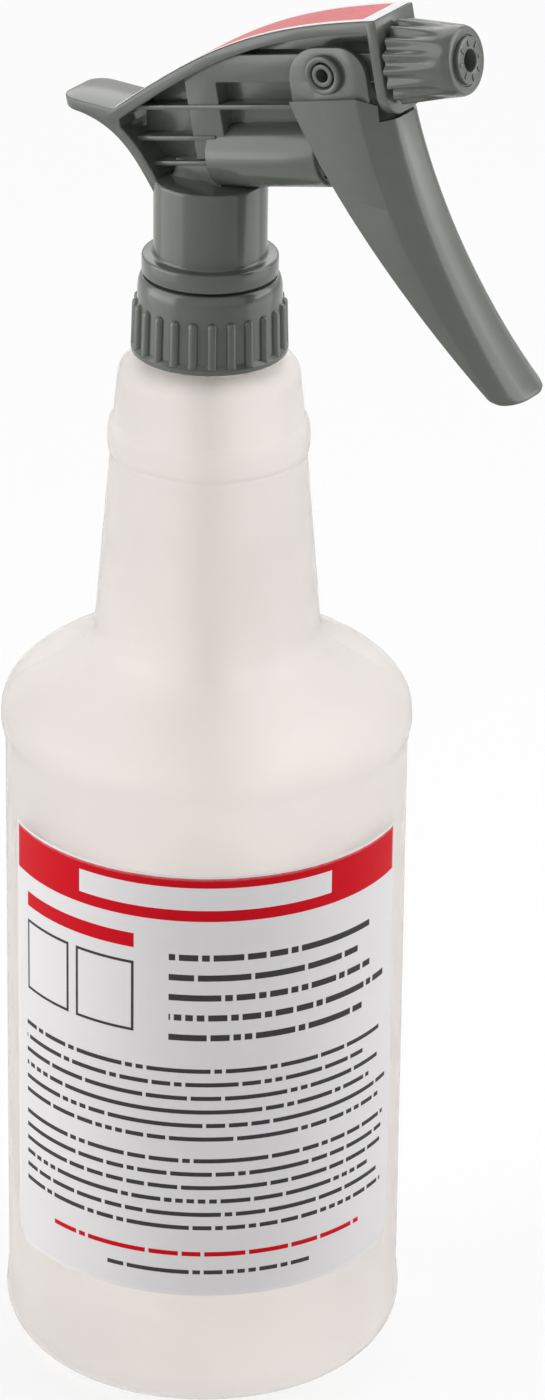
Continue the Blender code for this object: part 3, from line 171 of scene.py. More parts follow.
def crossing(line: Sequence[Point], height: float) -> float:
    """Where a line that falls all the way crosses a height.

    Args:
        line: Points of the line.
        height: The height.

    Returns:
        The first coordinate at that height.
    """
    for a, b in zip(line, line[1:]):
        if a[1] >= height >= b[1]:
            return a[0] + (b[0] - a[0]) * (a[1] - height) / (a[1] - b[1])
    return line[-1][0]


def spot_on(line: Sequence[Point], x: float) -> Point:
    """The point of a line at one value of its first coordinate.

    Args:
        line: Points that run the way of the first coordinate.
        x: The value.

    Returns:
        The point, or the line's last one where the line doesn't reach.
    """
    for a, b in zip(line, line[1:]):
        if a[0] <= x <= b[0]:
            return (x, a[1] + (b[1] - a[1]) * (x - a[0]) / (b[0] - a[0]))
    return line[-1]


def between(line: Sequence[Point], first: float, last: float) -> Line:
    """The piece of a line between two values of its first coordinate, with both ends set in."""
    inside = [p for p in line if first < p[0] < last]
    return [spot_on(line, first), *inside, spot_on(line, last)]


def verts_of(geometry: Geometry) -> list[BMVert]:
    """The vertices in what an operator gives back."""
    return [item for item in geometry if isinstance(item, BMVert)]


def placed(name: str, data: bpy.types.ID) -> Object:
    """Makes an object and links it to the scene.

    Args:
        name: The object's name.
        data: Its mesh, lamp or camera.

    Returns:
        The object.
    """
    made = bpy.data.objects.new(name, data)
    bpy.context.scene.collection.objects.link(made)
    return made


class Shape:
    """A bmesh on its way to one piece. The vertex layer "edge" marks edges that were rounded."""

    def __init__(self) -> None:
        """Starts empty."""
        self.bm = bmesh.new()
        self.worn_and_lit = self.bm.verts.layers.float.new("edge")

    def everything(self) -> Geometry:
        """All that is in the shape."""
        return self.bm.verts[:] + self.bm.edges[:] + self.bm.faces[:]

    def chain(
        self, points: Iterable[Sequence[float]], closed: bool = False
    ) -> tuple[list[BMVert], list[BMEdge]]:
        """Adds points with an edge from each to the next.

        Args:
            points: Places of the points.
            closed: Whether the last joins the first.

        Returns:
            The vertices and the edges.
        """
        verts = [self.bm.verts.new(p) for p in points]
        ends = verts[1:] + (verts[:1] if closed else [])
        return verts, [self.bm.edges.new(pair) for pair in zip(verts, ends)]

    def spun(
        self, geometry: Geometry, turns: float, steps: int, rise: float = 0.0,
        merge: bool = False, copies: bool = False,
    ) -> "Shape":
        """Spins geometry round Z and tidies the result.

        Args:
            geometry: What is spun.
            turns: Turns in all.
            steps: Steps in all.
            rise: How far each step climbs.
            merge: Whether the last step joins the first.
            copies: Whether the steps stay apart, as copies.

        Returns:
            This shape.
        """
        bmesh.ops.spin(
            self.bm, geom=geometry, cent=(0, 0, 0), axis=(0, 0, 1), dvec=(0, 0, rise),
            angle=FULL_TURN * turns, steps=steps, use_merge=merge, use_duplicate=copies,
        )
        return self.tidy()

    def turned(self, profile: Sequence[Point], steps: int, closed: bool = False) -> "Shape":
        """Spins a profile, given as radius and height, once round Z."""
        verts, edges = self.chain([(r, 0.0, z) for r, z in profile], closed)
        return self.spun(verts + edges, 1.0, steps, merge=True)

    def coil(self, section: Sequence[Point], steps: int, turns: float, pitch: float) -> "Shape":
        """Spins a small section, given as radius and height, up a thread and closes its ends."""
        cap = self.bm.faces.new([self.bm.verts.new((r, 0.0, z)) for r, z in section])
        return self.spun([cap], turns, round(steps * turns), pitch / steps)

    def copied_round(self, count: int) -> "Shape":
        """Copies the whole shape round Z."""
        return self.spun(self.everything(), 1.0, count, copies=True)

    def slab(
        self, outline: Sequence[Point], low: float, high: float,
        holes: Sequence[Sequence[Point]] = (),
    ) -> "Shape":
        """Extrudes an outline in the XZ plane along Y.

        Args:
            outline: Corner points as x and z.
            low: Y of the first face.
            high: Y of the second face.
            holes: Outlines that stay open.

        Returns:
            This shape.
        """
        edges: list[BMEdge] = []
        for ring in (outline, *holes):
            edges += self.chain([(x, low, z) for x, z in ring], closed=True)[1]
        if holes:
            filled = bmesh.ops.triangle_fill(self.bm, use_beauty=True, edges=edges)["geom"]
            faces = [item for item in filled if isinstance(item, BMFace)]
        else:
            faces = bmesh.ops.contextual_create(self.bm, geom=edges)["faces"]
        raised = bmesh.ops.extrude_face_region(self.bm, geom=faces)["geom"]
        bmesh.ops.translate(self.bm, vec=(0.0, high - low, 0.0), verts=verts_of(raised))
        return self.tidy()

    def bar(self, low: Place, high: Place) -> "Shape":
        """Adds a straight bar.

        Args:
            low: Its lowest corner.
            high: Its highest corner.

        Returns:
            This shape.
        """
        size = Vector(high) - Vector(low)
        middle = Matrix.Translation((Vector(high) + Vector(low)) / 2)
        bmesh.ops.create_cube(self.bm, size=1.0, matrix=middle @ Matrix.Diagonal((*size, 1.0)))
        return self

    def rod(self, radius: float, start: Place, end: Place, segments: int) -> "Shape":
        """Adds a round rod between two points.

        Args:
            radius: The rod's radius.
            start: One end.
            end: The other end.
            segments: Sides of the rod.

        Returns:
            This shape.
        """
        run = Vector(end) - Vector(start)
        middle = Matrix.Translation((Vector(start) + Vector(end)) / 2)
        bmesh.ops.create_cone(
            self.bm, cap_ends=True, segments=segments, radius1=radius, radius2=radius,
            depth=run.length, matrix=middle @ run.to_track_quat("Z", "Y").to_matrix().to_4x4(),
        )
        return self

    def round_edges(self, reach: float, segments: int = 2, sharper: float = 50.0) -> "Shape":
        """Bevels every edge that turns more than an angle, and marks it for paler edges: rubbed
        wear and a painted highlight.

        Args:
            reach: Width of the bevel on each side.
            segments: Segments of the bevel.
            sharper: Least angle in degrees.

        Returns:
            This shape.
        """
        limit = math.radians(sharper)
        edges = [e for e in self.bm.edges if e.is_manifold and e.calc_face_angle(0.0) > limit]
        return self.bevel(edges, reach, segments).clean()

    def bevel(self, edges: list[BMEdge], reach: float, segments: int) -> "Shape":
        """Bevels chosen edges and marks them for paler edges: rubbed wear and a painted highlight.

        Args:
            edges: The edges.
            reach: Width of the bevel on each side.
            segments: Segments of the bevel.

        Returns:
            This shape.
        """
        made = bmesh.ops.bevel(
            self.bm, geom=edges, offset=reach, offset_type="OFFSET", segments=segments,
            profile=0.5, affect="EDGES", material=-1, clamp_overlap=True,
        )
        # Marks the bevel for paler edges: rubbed wear and a painted highlight
        for face in made["faces"]:
            for vert in face.verts:
                vert[self.worn_and_lit] = 1.0
        return self

    def cut(self, spot: Place, normal: Place) -> None:
        """Cuts every face along a plane and keeps both sides."""
        everything = self.everything()
        bmesh.ops.bisect_plane(self.bm, geom=everything, dist=WELD, plane_co=spot, plane_no=normal)

    def clean(self, shorter: float = WELD) -> "Shape":
        """Dissolves edges below a length and faces without a size."""
        bmesh.ops.dissolve_degenerate(self.bm, edges=self.bm.edges[:], dist=shorter)
        return self

    def outwards(self) -> "Shape":
        """Turns the faces outwards."""
        bmesh.ops.recalc_face_normals(self.bm, faces=self.bm.faces[:])
        return self

    def tidy(self, nearer: float = WELD) -> "Shape":
        """Welds doubles, then turns the faces outwards."""
        bmesh.ops.remove_doubles(self.bm, verts=self.bm.verts[:], dist=nearer)
        return self.outwards()

    def moved(self, matrix: Matrix) -> "Shape":
        """Transforms the whole shape."""
        bmesh.ops.transform(self.bm, matrix=matrix, verts=self.bm.verts[:])
        return self

    def mirrored(self, axis: str, nearer: float = 0.0) -> "Shape":
        """Adds the mirror image along an axis, welded where it meets the shape."""
        bmesh.ops.mirror(self.bm, geom=self.everything(), axis=axis, merge_dist=nearer)
        return self.outwards()

    def mapped(self, place: Callable[[Vector], Point]) -> "Shape":
        """Gives the shape a UV map.

        Args:
            place: Takes a vertex's place to its place on the map.

        Returns:
            This shape.
        """
        uv = self.bm.loops.layers.uv.new("UVMap")
        for face in self.bm.faces:
            for loop in face.loops:
                loop[uv].uv = place(loop.vert.co)
        return self

    def walled(self, face: BMFace, way: Vector, wall: float) -> "Shape":
        """Gives an open sheet its wall.

        Args:
            face: A face that shows which way the sheet points.
            way: The way that it has to point, roughly.
            wall: The wall's thickness, behind the sheet, or before it where negative.

        Returns:
            This shape.
        """
        self.bm.normal_update()
        if face.normal.dot(way) < 0:
            bmesh.ops.reverse_faces(self.bm, faces=self.bm.faces[:])
            self.bm.normal_update()
        bmesh.ops.solidify(self.bm, geom=self.bm.faces[:], thickness=wall)
        self.bm.normal_update()
        return self

    def mesh(self, name: str) -> Mesh:
        """Hands the shape over as a mesh and frees it.

        Args:
            name: The mesh's name.

        Returns:
            The mesh.
        """
        made = bpy.data.meshes.new(name)
        self.bm.to_mesh(made)
        self.bm.free()
        return made

    def joined(self, other: "Shape") -> "Shape":
        """Takes in another shape, which is used up.

        Args:
            other: The other shape.

        Returns:
            This shape.
        """
        taken = other.mesh("taken")
        self.bm.from_mesh(taken)
        bpy.data.meshes.remove(taken)
        return self


class NodeDesk:
    """Places and links nodes in one shader tree."""

    def __init__(self, owner: Material | World | NodeTree) -> None:
        """Takes a group's tree, or empties a material's or the world's.

        Args:
            owner: What the nodes are for.
        """
        if isinstance(owner, NodeTree):
            self.tree = owner
            return
        owner.use_nodes = True
        self.tree = owner.node_tree
        self.tree.nodes.clear()

    def add(
        self, kind: str, inputs: dict[str | int, object] | None = None, **settings: object
    ) -> Node:
        """Adds a node.

        Args:
            kind: Node type without the ShaderNode prefix.
            inputs: Values or sockets by input name or number.
            settings: Properties of the node.

        Returns:
            The node.
        """
        node = self.tree.nodes.new(kind if kind.startswith("Node") else "ShaderNode" + kind)
        for name, value in settings.items():
            setattr(node, name, value)
        for name, value in (inputs or {}).items():
            self.feed(node.inputs[name], value)
        return node

    def feed(self, socket: NodeSocket, value: object) -> None:
        """Links a socket or sets its value.

        Args:
            socket: The socket.
            value: Another socket, or a plain value.
        """
        if isinstance(value, NodeSocket):
            self.tree.links.new(value, socket)
        elif isinstance(value, tuple) and socket.type == "RGBA":
            socket.default_value = (*value[:3], 1.0)
        else:
            socket.default_value = value

    def math(self, operation: str, *values: object) -> NodeSocket:
        """A Math node's result for sockets or numbers."""
        return self.add("Math", dict(enumerate(values)), operation=operation).outputs[0]

    def both(self, first: object, second: object) -> NodeSocket:
        """The product of two masks."""
        return self.math("MULTIPLY", first, second)

    def within(self, value: NodeSocket, low: object, high: object) -> NodeSocket:
        """A mask that is 1 between two limits."""
        above = self.math("GREATER_THAN", value, low)
        return self.both(above, self.math("LESS_THAN", value, high))

    def blend(self, share: object, first: object, second: object) -> NodeSocket:
        """A colour between two colours."""
        inputs = {0: share, 6: first, 7: second}
        return self.add("Mix", inputs, data_type="RGBA").outputs[2]

    def scaled(self, value: object, limits: Point, to: Point) -> NodeSocket:
        """A value mapped from one range to another, kept inside it."""
        return self.add("MapRange", dict(enumerate((value, *limits, *to)))).outputs[0]

    def noise(
        self, vector: object, scale: object, detail: float = 2.0, rough: float = 0.5
    ) -> NodeSocket:
        """A noise texture's value."""
        inputs = {"Vector": vector, "Scale": scale, "Detail": detail, "Roughness": rough}
        return self.add("TexNoise", inputs).outputs[0]


@dataclass
class SharedEffects:
    """Node groups that more than one finish uses, with the sizes of their patterns."""

    fine_share: float = 0.6
    swell_share: float = 0.8
    swell_scale: float = 0.11
    cloud_scale: float = 0.025
    cloud_range: Point = (0.3, 0.7)
    wear_and_highlight_scale: float = 260.0
    wear_and_highlight_range: Point = (0.35, 0.65)
    wear_and_highlight_share: Point = (0.25, 1.0)
    patch_range: Point = (0.4, 0.7)
    streak_scale: float = 6.0
    streak_stretch: Place = (1.0, 1.0, 0.12)
    streak_range: Point = (0.35, 0.7)
    streak_share: Point = (0.3, 1.0)

    def __post_init__(self) -> None:
        """Builds every group once."""
        self.grain = self.moulded_grain()
        self.wear_and_highlight = self.edge_wear_and_highlight()
        self.smudge = self.handling_smudge()

    @staticmethod
    def start(name: str, value: str, *results: str) -> tuple[NodeDesk, tuple, tuple]:
        """Makes an empty group with a vector, one more input and its outputs.

        Args:
            name: The group's name.
            value: Name of the other input.
            results: Names of the outputs.

        Returns:
            A desk on the group, its input sockets and its output sockets.
        """
        tree = bpy.data.node_groups.new(name, "ShaderNodeTree")
        tree.interface.new_socket("Vector", in_out="INPUT", socket_type="NodeSocketVector")
        tree.interface.new_socket(value, in_out="INPUT", socket_type="NodeSocketFloat")
        for result in results:
            tree.interface.new_socket(result, in_out="OUTPUT", socket_type="NodeSocketFloat")
        desk = NodeDesk(tree)
        given = desk.add("NodeGroupInput").outputs
        out = desk.add("NodeGroupOutput").inputs
        return desk, (given["Vector"], given[value]), tuple(out[result] for result in results)

    def moulded_grain(self) -> NodeTree:
        """Fine spark-eroded grain with broad clouds from the flow of the melt.

        Returns:
            The group.
        """
        desk, (spot, scale), (height, clouds) = self.start(
            "moulded_grain", "Scale", "Height", "Cloud"
        )
        fine = desk.noise(spot, scale, detail=3.0, rough=0.6)
        swell = desk.noise(spot, desk.math("MULTIPLY", scale, self.swell_scale))
        raised = desk.math("MULTIPLY", fine, self.fine_share)
        desk.feed(height, desk.math("ADD", raised, desk.math("MULTIPLY", swell, self.swell_share)))
        broad = desk.math("MULTIPLY", scale, self.cloud_scale)
        cloud = desk.noise(spot, broad, detail=3.0, rough=0.55)
        desk.feed(clouds, desk.scaled(cloud, self.cloud_range, (0.0, 1.0)))
        return desk.tree

    def edge_wear_and_highlight(self) -> NodeTree:
        """Paler edges, partly rubbed wear and partly a painted highlight along the rims, broken up
        so that the line isn't even.

        Returns:
            The group.
        """
        desk, (spot, amount), (mask,) = self.start("edge_wear_and_highlight", "Amount", "Mask")
        mark = desk.add("Attribute", attribute_name="edge").outputs["Fac"]
        patchy = desk.noise(spot, self.wear_and_highlight_scale, detail=3.0, rough=0.6)
        patchy = desk.scaled(patchy, self.wear_and_highlight_range, self.wear_and_highlight_share)
        # The mask makes edges paler: rubbed wear and a painted highlight along the rims
        desk.feed(mask, desk.both(desk.both(mark, patchy), amount))
        return desk.tree

    def handling_smudge(self) -> NodeTree:
        """Dull patches where hands and cloths have been.

        Returns:
            The group.
        """
        desk, (spot, scale), (mask,) = self.start("handling_smudge", "Scale", "Mask")
        patch = desk.noise(spot, scale, detail=4.0, rough=0.6)
        wipe = desk.add("Mapping", {"Vector": spot, "Scale": self.streak_stretch}).outputs[0]
        streak = desk.noise(wipe, desk.math("MULTIPLY", scale, self.streak_scale))
        patch = desk.scaled(patch, self.patch_range, (0.0, 1.0))
        desk.feed(mask, desk.both(patch, desk.scaled(streak, self.streak_range, self.streak_share)))
        return desk.tree


class Coat:
    """A material in the making, with the shared effects at hand."""

    def __init__(self, finish: "Finish", effects: SharedEffects) -> None:
        """Starts from a finish's plain colour and roughness.

        Args:
            finish: The finish.
            effects: The shared node groups.
        """
        self.effects = effects
        self.material = bpy.data.materials.new(finish.name)
        self.desk = NodeDesk(self.material)
        plain = {"Base Color": finish.colour, "Roughness": finish.roughness}
        self.shader = self.desk.add("BsdfPrincipled", plain)
        self.desk.add("OutputMaterial", {"Surface": self.shader.outputs[0]})
        self.places = self.desk.add("TexCoord").outputs

    def give(self, name: str, value: object) -> None:
        """Feeds one input of the shader."""
        self.desk.feed(self.shader.inputs[name], value)

    def effect(self, group: NodeTree, **inputs: object) -> bpy.types.bpy_prop_collection:
        """Places a shared effect and gives its outputs."""
        inputs["Vector"] = self.places["Object"]
        return self.desk.add("Group", inputs, node_tree=group).outputs

    def uv(self) -> tuple[NodeSocket, NodeSocket]:
        """The two coordinates of the piece's UV map."""
        split = self.desk.add("SeparateXYZ", {0: self.places["UV"]}).outputs
        return split["X"], split["Y"]


@dataclass(frozen=True)
class Finish:
    """What every finish has. Clouds are the darkest and the palest share of the colour."""

    name: str
    slot: Slot
    colour: Colour
    roughness: float
    clouds: Point = (0.9, 1.1)
    grain_scale: float = 1700.0
    grain_depth: float = 0.00002
    relief: float = 0.6
    smudge: float = 0.06
    smudge_scale: float = 55.0

    def shade(self, share: float, lift: float = 0.0) -> Colour:
        """The colour made darker or paler."""
        return tuple(min(1.0, c * share + lift) for c in self.colour)

    def tint(self, coat: Coat, cloud: NodeSocket) -> NodeSocket:
        """The colour over the surface, in clouds."""
        dark, pale = (self.shade(share) for share in self.clouds)
        return coat.desk.blend(cloud, dark, pale)

    def height(self, coat: Coat, grain: NodeSocket) -> NodeSocket:
        """The height over the surface, here of the grain alone."""
        return grain

    def plain(self) -> dict[str, float]:
        """Values that are the same all over, by the shader's input."""
        return {}

    def make(self, effects: SharedEffects) -> Material:
        """Builds the material.

        Args:
            effects: The shared node groups.

        Returns:
            The material.
        """
        coat = Coat(self, effects)
        desk = coat.desk
        grain = coat.effect(effects.grain, Scale=self.grain_scale)
        coat.give("Base Color", self.tint(coat, grain["Cloud"]))
        dull = coat.effect(effects.smudge, Scale=self.smudge_scale)["Mask"]
        coat.give("Roughness", desk.math("MULTIPLY_ADD", dull, self.smudge, self.roughness))
        if self.relief:
            height = self.height(coat, grain["Height"])
            pressed = {"Strength": self.relief, "Distance": self.grain_depth, "Height": height}
            coat.give("Normal", desk.add("Bump", pressed).outputs[0])
        for name, value in self.plain().items():
            coat.give(name, value)
        return coat.material


@dataclass(frozen=True)
class MouldedPlastic(Finish):
    """Injection-moulded plastic with paler edges, partly rubbed wear and partly a painted
    highlight.
    """

    # Strength of the paler edges: rubbed wear and a painted highlight
    wear_and_highlight: float = 0.08
    worn_and_lit_share: float = 1.5
    worn_and_lit_lift: float = 0.03

    def tint(self, coat: Coat, cloud: NodeSocket) -> NodeSocket:
        """The clouds, paler on the edges, where they are rubbed and where a highlight is painted.

        Args:
            coat: The material in the making.
            cloud: The mask of the clouds.

        Returns:
            The colour.
        """
        base = super().tint(coat, cloud)
        rubbed_and_lit = coat.effect(coat.effects.wear_and_highlight, Amount=self.wear_and_highlight)["Mask"]
        # Paler edges: rubbed wear and a painted highlight along the rims
        return coat.desk.blend(rubbed_and_lit, base, self.shade(self.worn_and_lit_share, self.worn_and_lit_lift))


@dataclass(frozen=True)
class MilkyPlastic(Finish):
    """Blown natural polyethylene: milky, mottled, with a fine seam in the mould's plane."""

    clouds: Point = (0.955, 1.03)
    grain_scale: float = 1500.0
    grain_depth: float = 0.00005
    relief: float = 0.5
    smudge: float = 0.12
    smudge_scale: float = 30.0
    seam_angle: float = math.radians(32.2)
    seam_half: Point = (0.00005, 0.00025)
    seam_rise: float = 2.0
    see_through: float = 0.97
    ior: float = 1.4

    def height(self, coat: Coat, grain: NodeSocket) -> NodeSocket:
        """The grain with the seam on it.

        Args:
            coat: The material in the making.
            grain: The grain's height.

        Returns:
            The height.
        """
        desk = coat.desk
        turn = {"Vector": coat.places["Object"], "Rotation": (0.0, 0.0, -self.seam_angle)}
        turned = desk.add("Mapping", turn).outputs[0]
        off = desk.math("ABSOLUTE", desk.add("SeparateXYZ", {0: turned}).outputs["Y"])
        seam = desk.scaled(off, self.seam_half, (1.0, 0.0))
        return desk.math("MULTIPLY_ADD", seam, self.seam_rise, grain)

    def plain(self) -> dict[str, float]:
        """How much light goes through, and how it bends."""
        return {"Transmission Weight": self.see_through, "IOR": self.ior}


@dataclass(frozen=True)
class Film(Finish):
    """A thin film with a very fine grain."""

    grain_scale: float = 2600.0
    grain_depth: float = 0.00001
    relief: float = 0.3


@dataclass(frozen=True)
class PrintedLabel(Film):
    """Printed film on the bottle: a red head over a pale panel with rows of bars and blank boxes.

    Print is placed by the label's own UV map, as shares of its width and height. A block of rows
    is its box, the number of rows, which pattern of bars, and whether it is red.
    """

    clouds: Point = (0.97, 1.0)
    smudge: float = 0.15
    smudge_scale: float = 40.0
    red: Colour = (0.55, 0.003, 0.011)
    ink: Colour = (0.045, 0.045, 0.05)
    back: Colour = (0.90, 0.89, 0.88)
    gloss: float = 0.07
    head: tuple[Point, Point] = ((0.005, 0.995), (0.8954, 0.995))
    head_panel: tuple[Point, Point] = ((0.22, 0.78), (0.921, 0.973))
    blocks: tuple[tuple[Point, Point, int, float, bool], ...] = (
        ((0.425, 0.955), (0.600, 0.835), 5, 3.0, False),
        ((0.045, 0.985), (0.365, 0.560), 6, 11.0, False),
        ((0.045, 0.985), (0.150, 0.345), 6, 23.0, False),
        ((0.140, 0.900), (0.085, 0.120), 1, 41.0, True),
        ((0.290, 0.760), (0.042, 0.074), 1, 52.0, False),
    )
    red_bar: tuple[Point, Point] = ((0.05, 0.35), (0.822, 0.855))
    boxes: tuple[Point, ...] = ((0.05, 0.19), (0.21, 0.35))
    box_v: Point = (0.625, 0.790)
    box_line: Point = (0.006, 0.0065)
    cells: float = 42.0
    bar_line: Point = (0.32, 0.63)
    gap_width: float = 0.32
    gap_chance: float = 0.62
    ragged: float = 0.10
    rim: float = 0.012
    rim_wear: float = 0.8
    rim_grain: float = 500.0
    rim_tint: Colour = (0.80, 0.79, 0.78)

    @staticmethod
    def box(desk: NodeDesk, uv: tuple, u: Point, v: Point) -> NodeSocket:
        """A mask that is 1 inside a box of the UV map."""
        return desk.both(desk.within(uv[0], *u), desk.within(uv[1], *v))

    def rows(
        self, desk: NodeDesk, uv: tuple, u: Point, v: Point, count: int, seed: float
    ) -> NodeSocket:
        """Rows of word-long bars inside a box, ragged at the right.

        Args:
            desk: Where the nodes go.
            uv: The label's two coordinates.
            u: Left and right ends of the box.
            v: Lower and upper ends of the box.
            count: Number of rows.
            seed: Which pattern of bars.

        Returns:
            A mask that is 1 on the bars.
        """
        along = desk.scaled(uv[1], v, (0.0, float(count)))
        row = desk.math("ADD", desk.math("FLOOR", along), seed)
        line = desk.within(desk.math("FRACT", along), *self.bar_line)
        chance = desk.add("TexWhiteNoise", {"W": row}, noise_dimensions="1D").outputs["Value"]
        step = desk.math("MULTIPLY_ADD", uv[0], self.cells, chance)
        cell = desk.add("CombineXYZ", {0: desk.math("FLOOR", step), 1: row}).outputs[0]
        pick = desk.add("TexWhiteNoise", {"Vector": cell}, noise_dimensions="2D").outputs["Value"]
        start = desk.math("LESS_THAN", desk.math("FRACT", step), self.gap_width)
        gap = desk.both(start, desk.math("GREATER_THAN", pick, self.gap_chance))
        end = desk.math("MULTIPLY_ADD", chance, -self.ragged, u[1])
        inked = desk.both(line, desk.math("SUBTRACT", 1.0, gap))
        return desk.both(desk.both(inked, desk.within(uv[0], u[0], end)), desk.within(uv[1], *v))

    def printed(self, coat: Coat, uv: tuple, tint: NodeSocket) -> NodeSocket:
        """Lays the print over the film's own colour.

        Args:
            coat: The material in the making.
            uv: The label's two coordinates.
            tint: The film's colour.

        Returns:
            The colour with the print.
        """
        desk = coat.desk
        layers = [(self.box(desk, uv, *self.head), self.red)]
        layers.append((self.box(desk, uv, *self.head_panel), self.colour))
        for *block, red in self.blocks:
            layers.append((self.rows(desk, uv, *block), self.red if red else self.ink))
        layers.append((self.box(desk, uv, *self.red_bar), self.red))
        (low, high), (across, up) = self.box_v, self.box_line
        for left, right in self.boxes:
            inside = (left + across, right - across), (low + up, high - up)
            layers.append((self.box(desk, uv, (left, right), self.box_v), self.ink))
            layers.append((self.box(desk, uv, *inside), self.colour))
        for mask, colour in layers:
            tint = desk.blend(mask, tint, colour)
        return tint

    def tint(self, coat: Coat, cloud: NodeSocket) -> NodeSocket:
        """The printed front with a rubbed rim, and the plain back.

        Args:
            coat: The material in the making.
            cloud: The mask of the clouds.

        Returns:
            The colour.
        """
        desk = coat.desk
        uv = coat.uv()
        tint = self.printed(coat, uv, super().tint(coat, cloud))
        sides = [desk.math("MINIMUM", at, desk.math("SUBTRACT", 1.0, at)) for at in uv]
        near = desk.scaled(desk.math("MINIMUM", *sides), (0.0, self.rim), (self.rim_wear, 0.0))
        patchy = desk.noise(coat.places["Object"], self.rim_grain, detail=3.0, rough=0.6)
        tint = desk.blend(desk.both(near, patchy), tint, self.rim_tint)
        inner = desk.add("Attribute", attribute_name="inner").outputs["Fac"]
        return desk.blend(inner, tint, self.back)

    def plain(self) -> dict[str, float]:
        """The film's faint gloss."""
        return {"Specular IOR Level": self.gloss}


@dataclass(frozen=True)
class BorderedFilm(Film):
    """Film on the head's top strip: a plain field inside a white border, by the film's UV map."""

    clouds: Point = (0.93, 1.0)
    smudge: float = 0.12
    smudge_scale: float = 90.0
    border: Colour = (0.80, 0.79, 0.80)
    border_rear: float = 0.022
    border_front: float = 0.048
    border_side: float = 0.085

    def tint(self, coat: Coat, cloud: NodeSocket) -> NodeSocket:
        """The field and its border.

        Args:
            coat: The material in the making.
            cloud: The mask of the clouds.

        Returns:
            The colour.
        """
        desk = coat.desk
        along, across = coat.uv()
        field_u = desk.within(along, self.border_rear, 1 - self.border_front)
        field_v = desk.within(across, self.border_side, 1 - self.border_side)
        return desk.blend(desk.both(field_u, field_v), self.border, super().tint(coat, cloud))


@dataclass(frozen=True)
class DrawnWire(Finish):
    """Bright drawn wire with a dull bloom."""

    clouds: Point = (0.82, 1.0)
    grain_scale: float = 5200.0
    relief: float = 0.0
    smudge: float = 0.2
    smudge_scale: float = 400.0

    def plain(self) -> dict[str, float]:
        """Metal all over."""
        return {"Metallic": 1.0}


class Workshop:
    """Holds the materials and turns shapes into pieces that ride on the frame."""

    def __init__(self) -> None:
        """Makes every finish once."""
        effects = SharedEffects()
        bare = {"grain_scale": 2400.0, "wear_and_highlight": 0.0}
        white = (0.78, 0.78, 0.76)
        self.materials: dict[Slot, Material] = {}
        for finish in (
            MilkyPlastic("milky_plastic", Slot.MILKY, (0.955, 0.925, 0.905), 0.56),
            PrintedLabel("printed_label", Slot.LABEL, (0.71, 0.695, 0.70), 0.46),
            BorderedFilm("bordered_film", Slot.RED, (0.60, 0.045, 0.05), 0.34),
            MouldedPlastic("grey_moulding", Slot.GREY, (0.092, 0.101, 0.087), 0.17, (0.96, 1.04)),
            MouldedPlastic("white_moulding", Slot.WHITE, white, 0.38, (0.97, 1.03), wear_and_highlight=0.0),
            MouldedPlastic(
                "gasket_foam", Slot.FOAM, (0.74, 0.73, 0.70), 0.75, (0.94, 1.06),
                grain_depth=0.00006, **bare,
            ),
            MouldedPlastic(
                "seal_rubber", Slot.RUBBER, (0.03, 0.03, 0.032), 0.55, (0.88, 1.12),
                grain_depth=0.00003, **bare,
            ),
            MouldedPlastic("tube_plastic", Slot.TUBE, white, 0.34, (0.96, 1.04), wear_and_highlight=0.0),
            DrawnWire("spring_wire", Slot.STEEL, (0.58, 0.58, 0.60), 0.24),
        ):
            self.materials[finish.slot] = finish.make(effects)

    def piece(
        self, name: str, shape: Shape, body: Body, slot: Slot,
        stands_for: Sequence[str] = (), crease: float = 35.0,
    ) -> Object:
        """Makes a shape one piece of the object.

        Args:
            name: The piece's name.
            shape: The finished shape, in place.
            body: The body that it rides on.
            slot: The slot of its finish.
            stands_for: CAD nodes that it replaces.
            crease: Edges that turn more than this angle in degrees stay sharp.

        Returns:
            The piece's object.
        """
        mesh = shape.mesh(name)
        mesh.shade_smooth()
        mesh.set_sharp_from_angle(angle=math.radians(crease))
        mesh.materials.append(self.materials[slot])
        made = placed(name, mesh)
        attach(made, body.value)
        if stands_for:
            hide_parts(*stands_for)
        LOG.info("%s: %d faces on %s", name, len(mesh.polygons), body.value)
        return made

    def dress_node(self, node: str, slot: Slot) -> None:
        """Gives a CAD node that stays in sight its finish.

        Args:
            node: The node's name.
            slot: The slot of its finish.
        """
        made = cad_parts[node]
        made.data.materials.clear()
        made.data.materials.append(self.materials[slot])
        LOG.info("%s: kept from the frame", node)


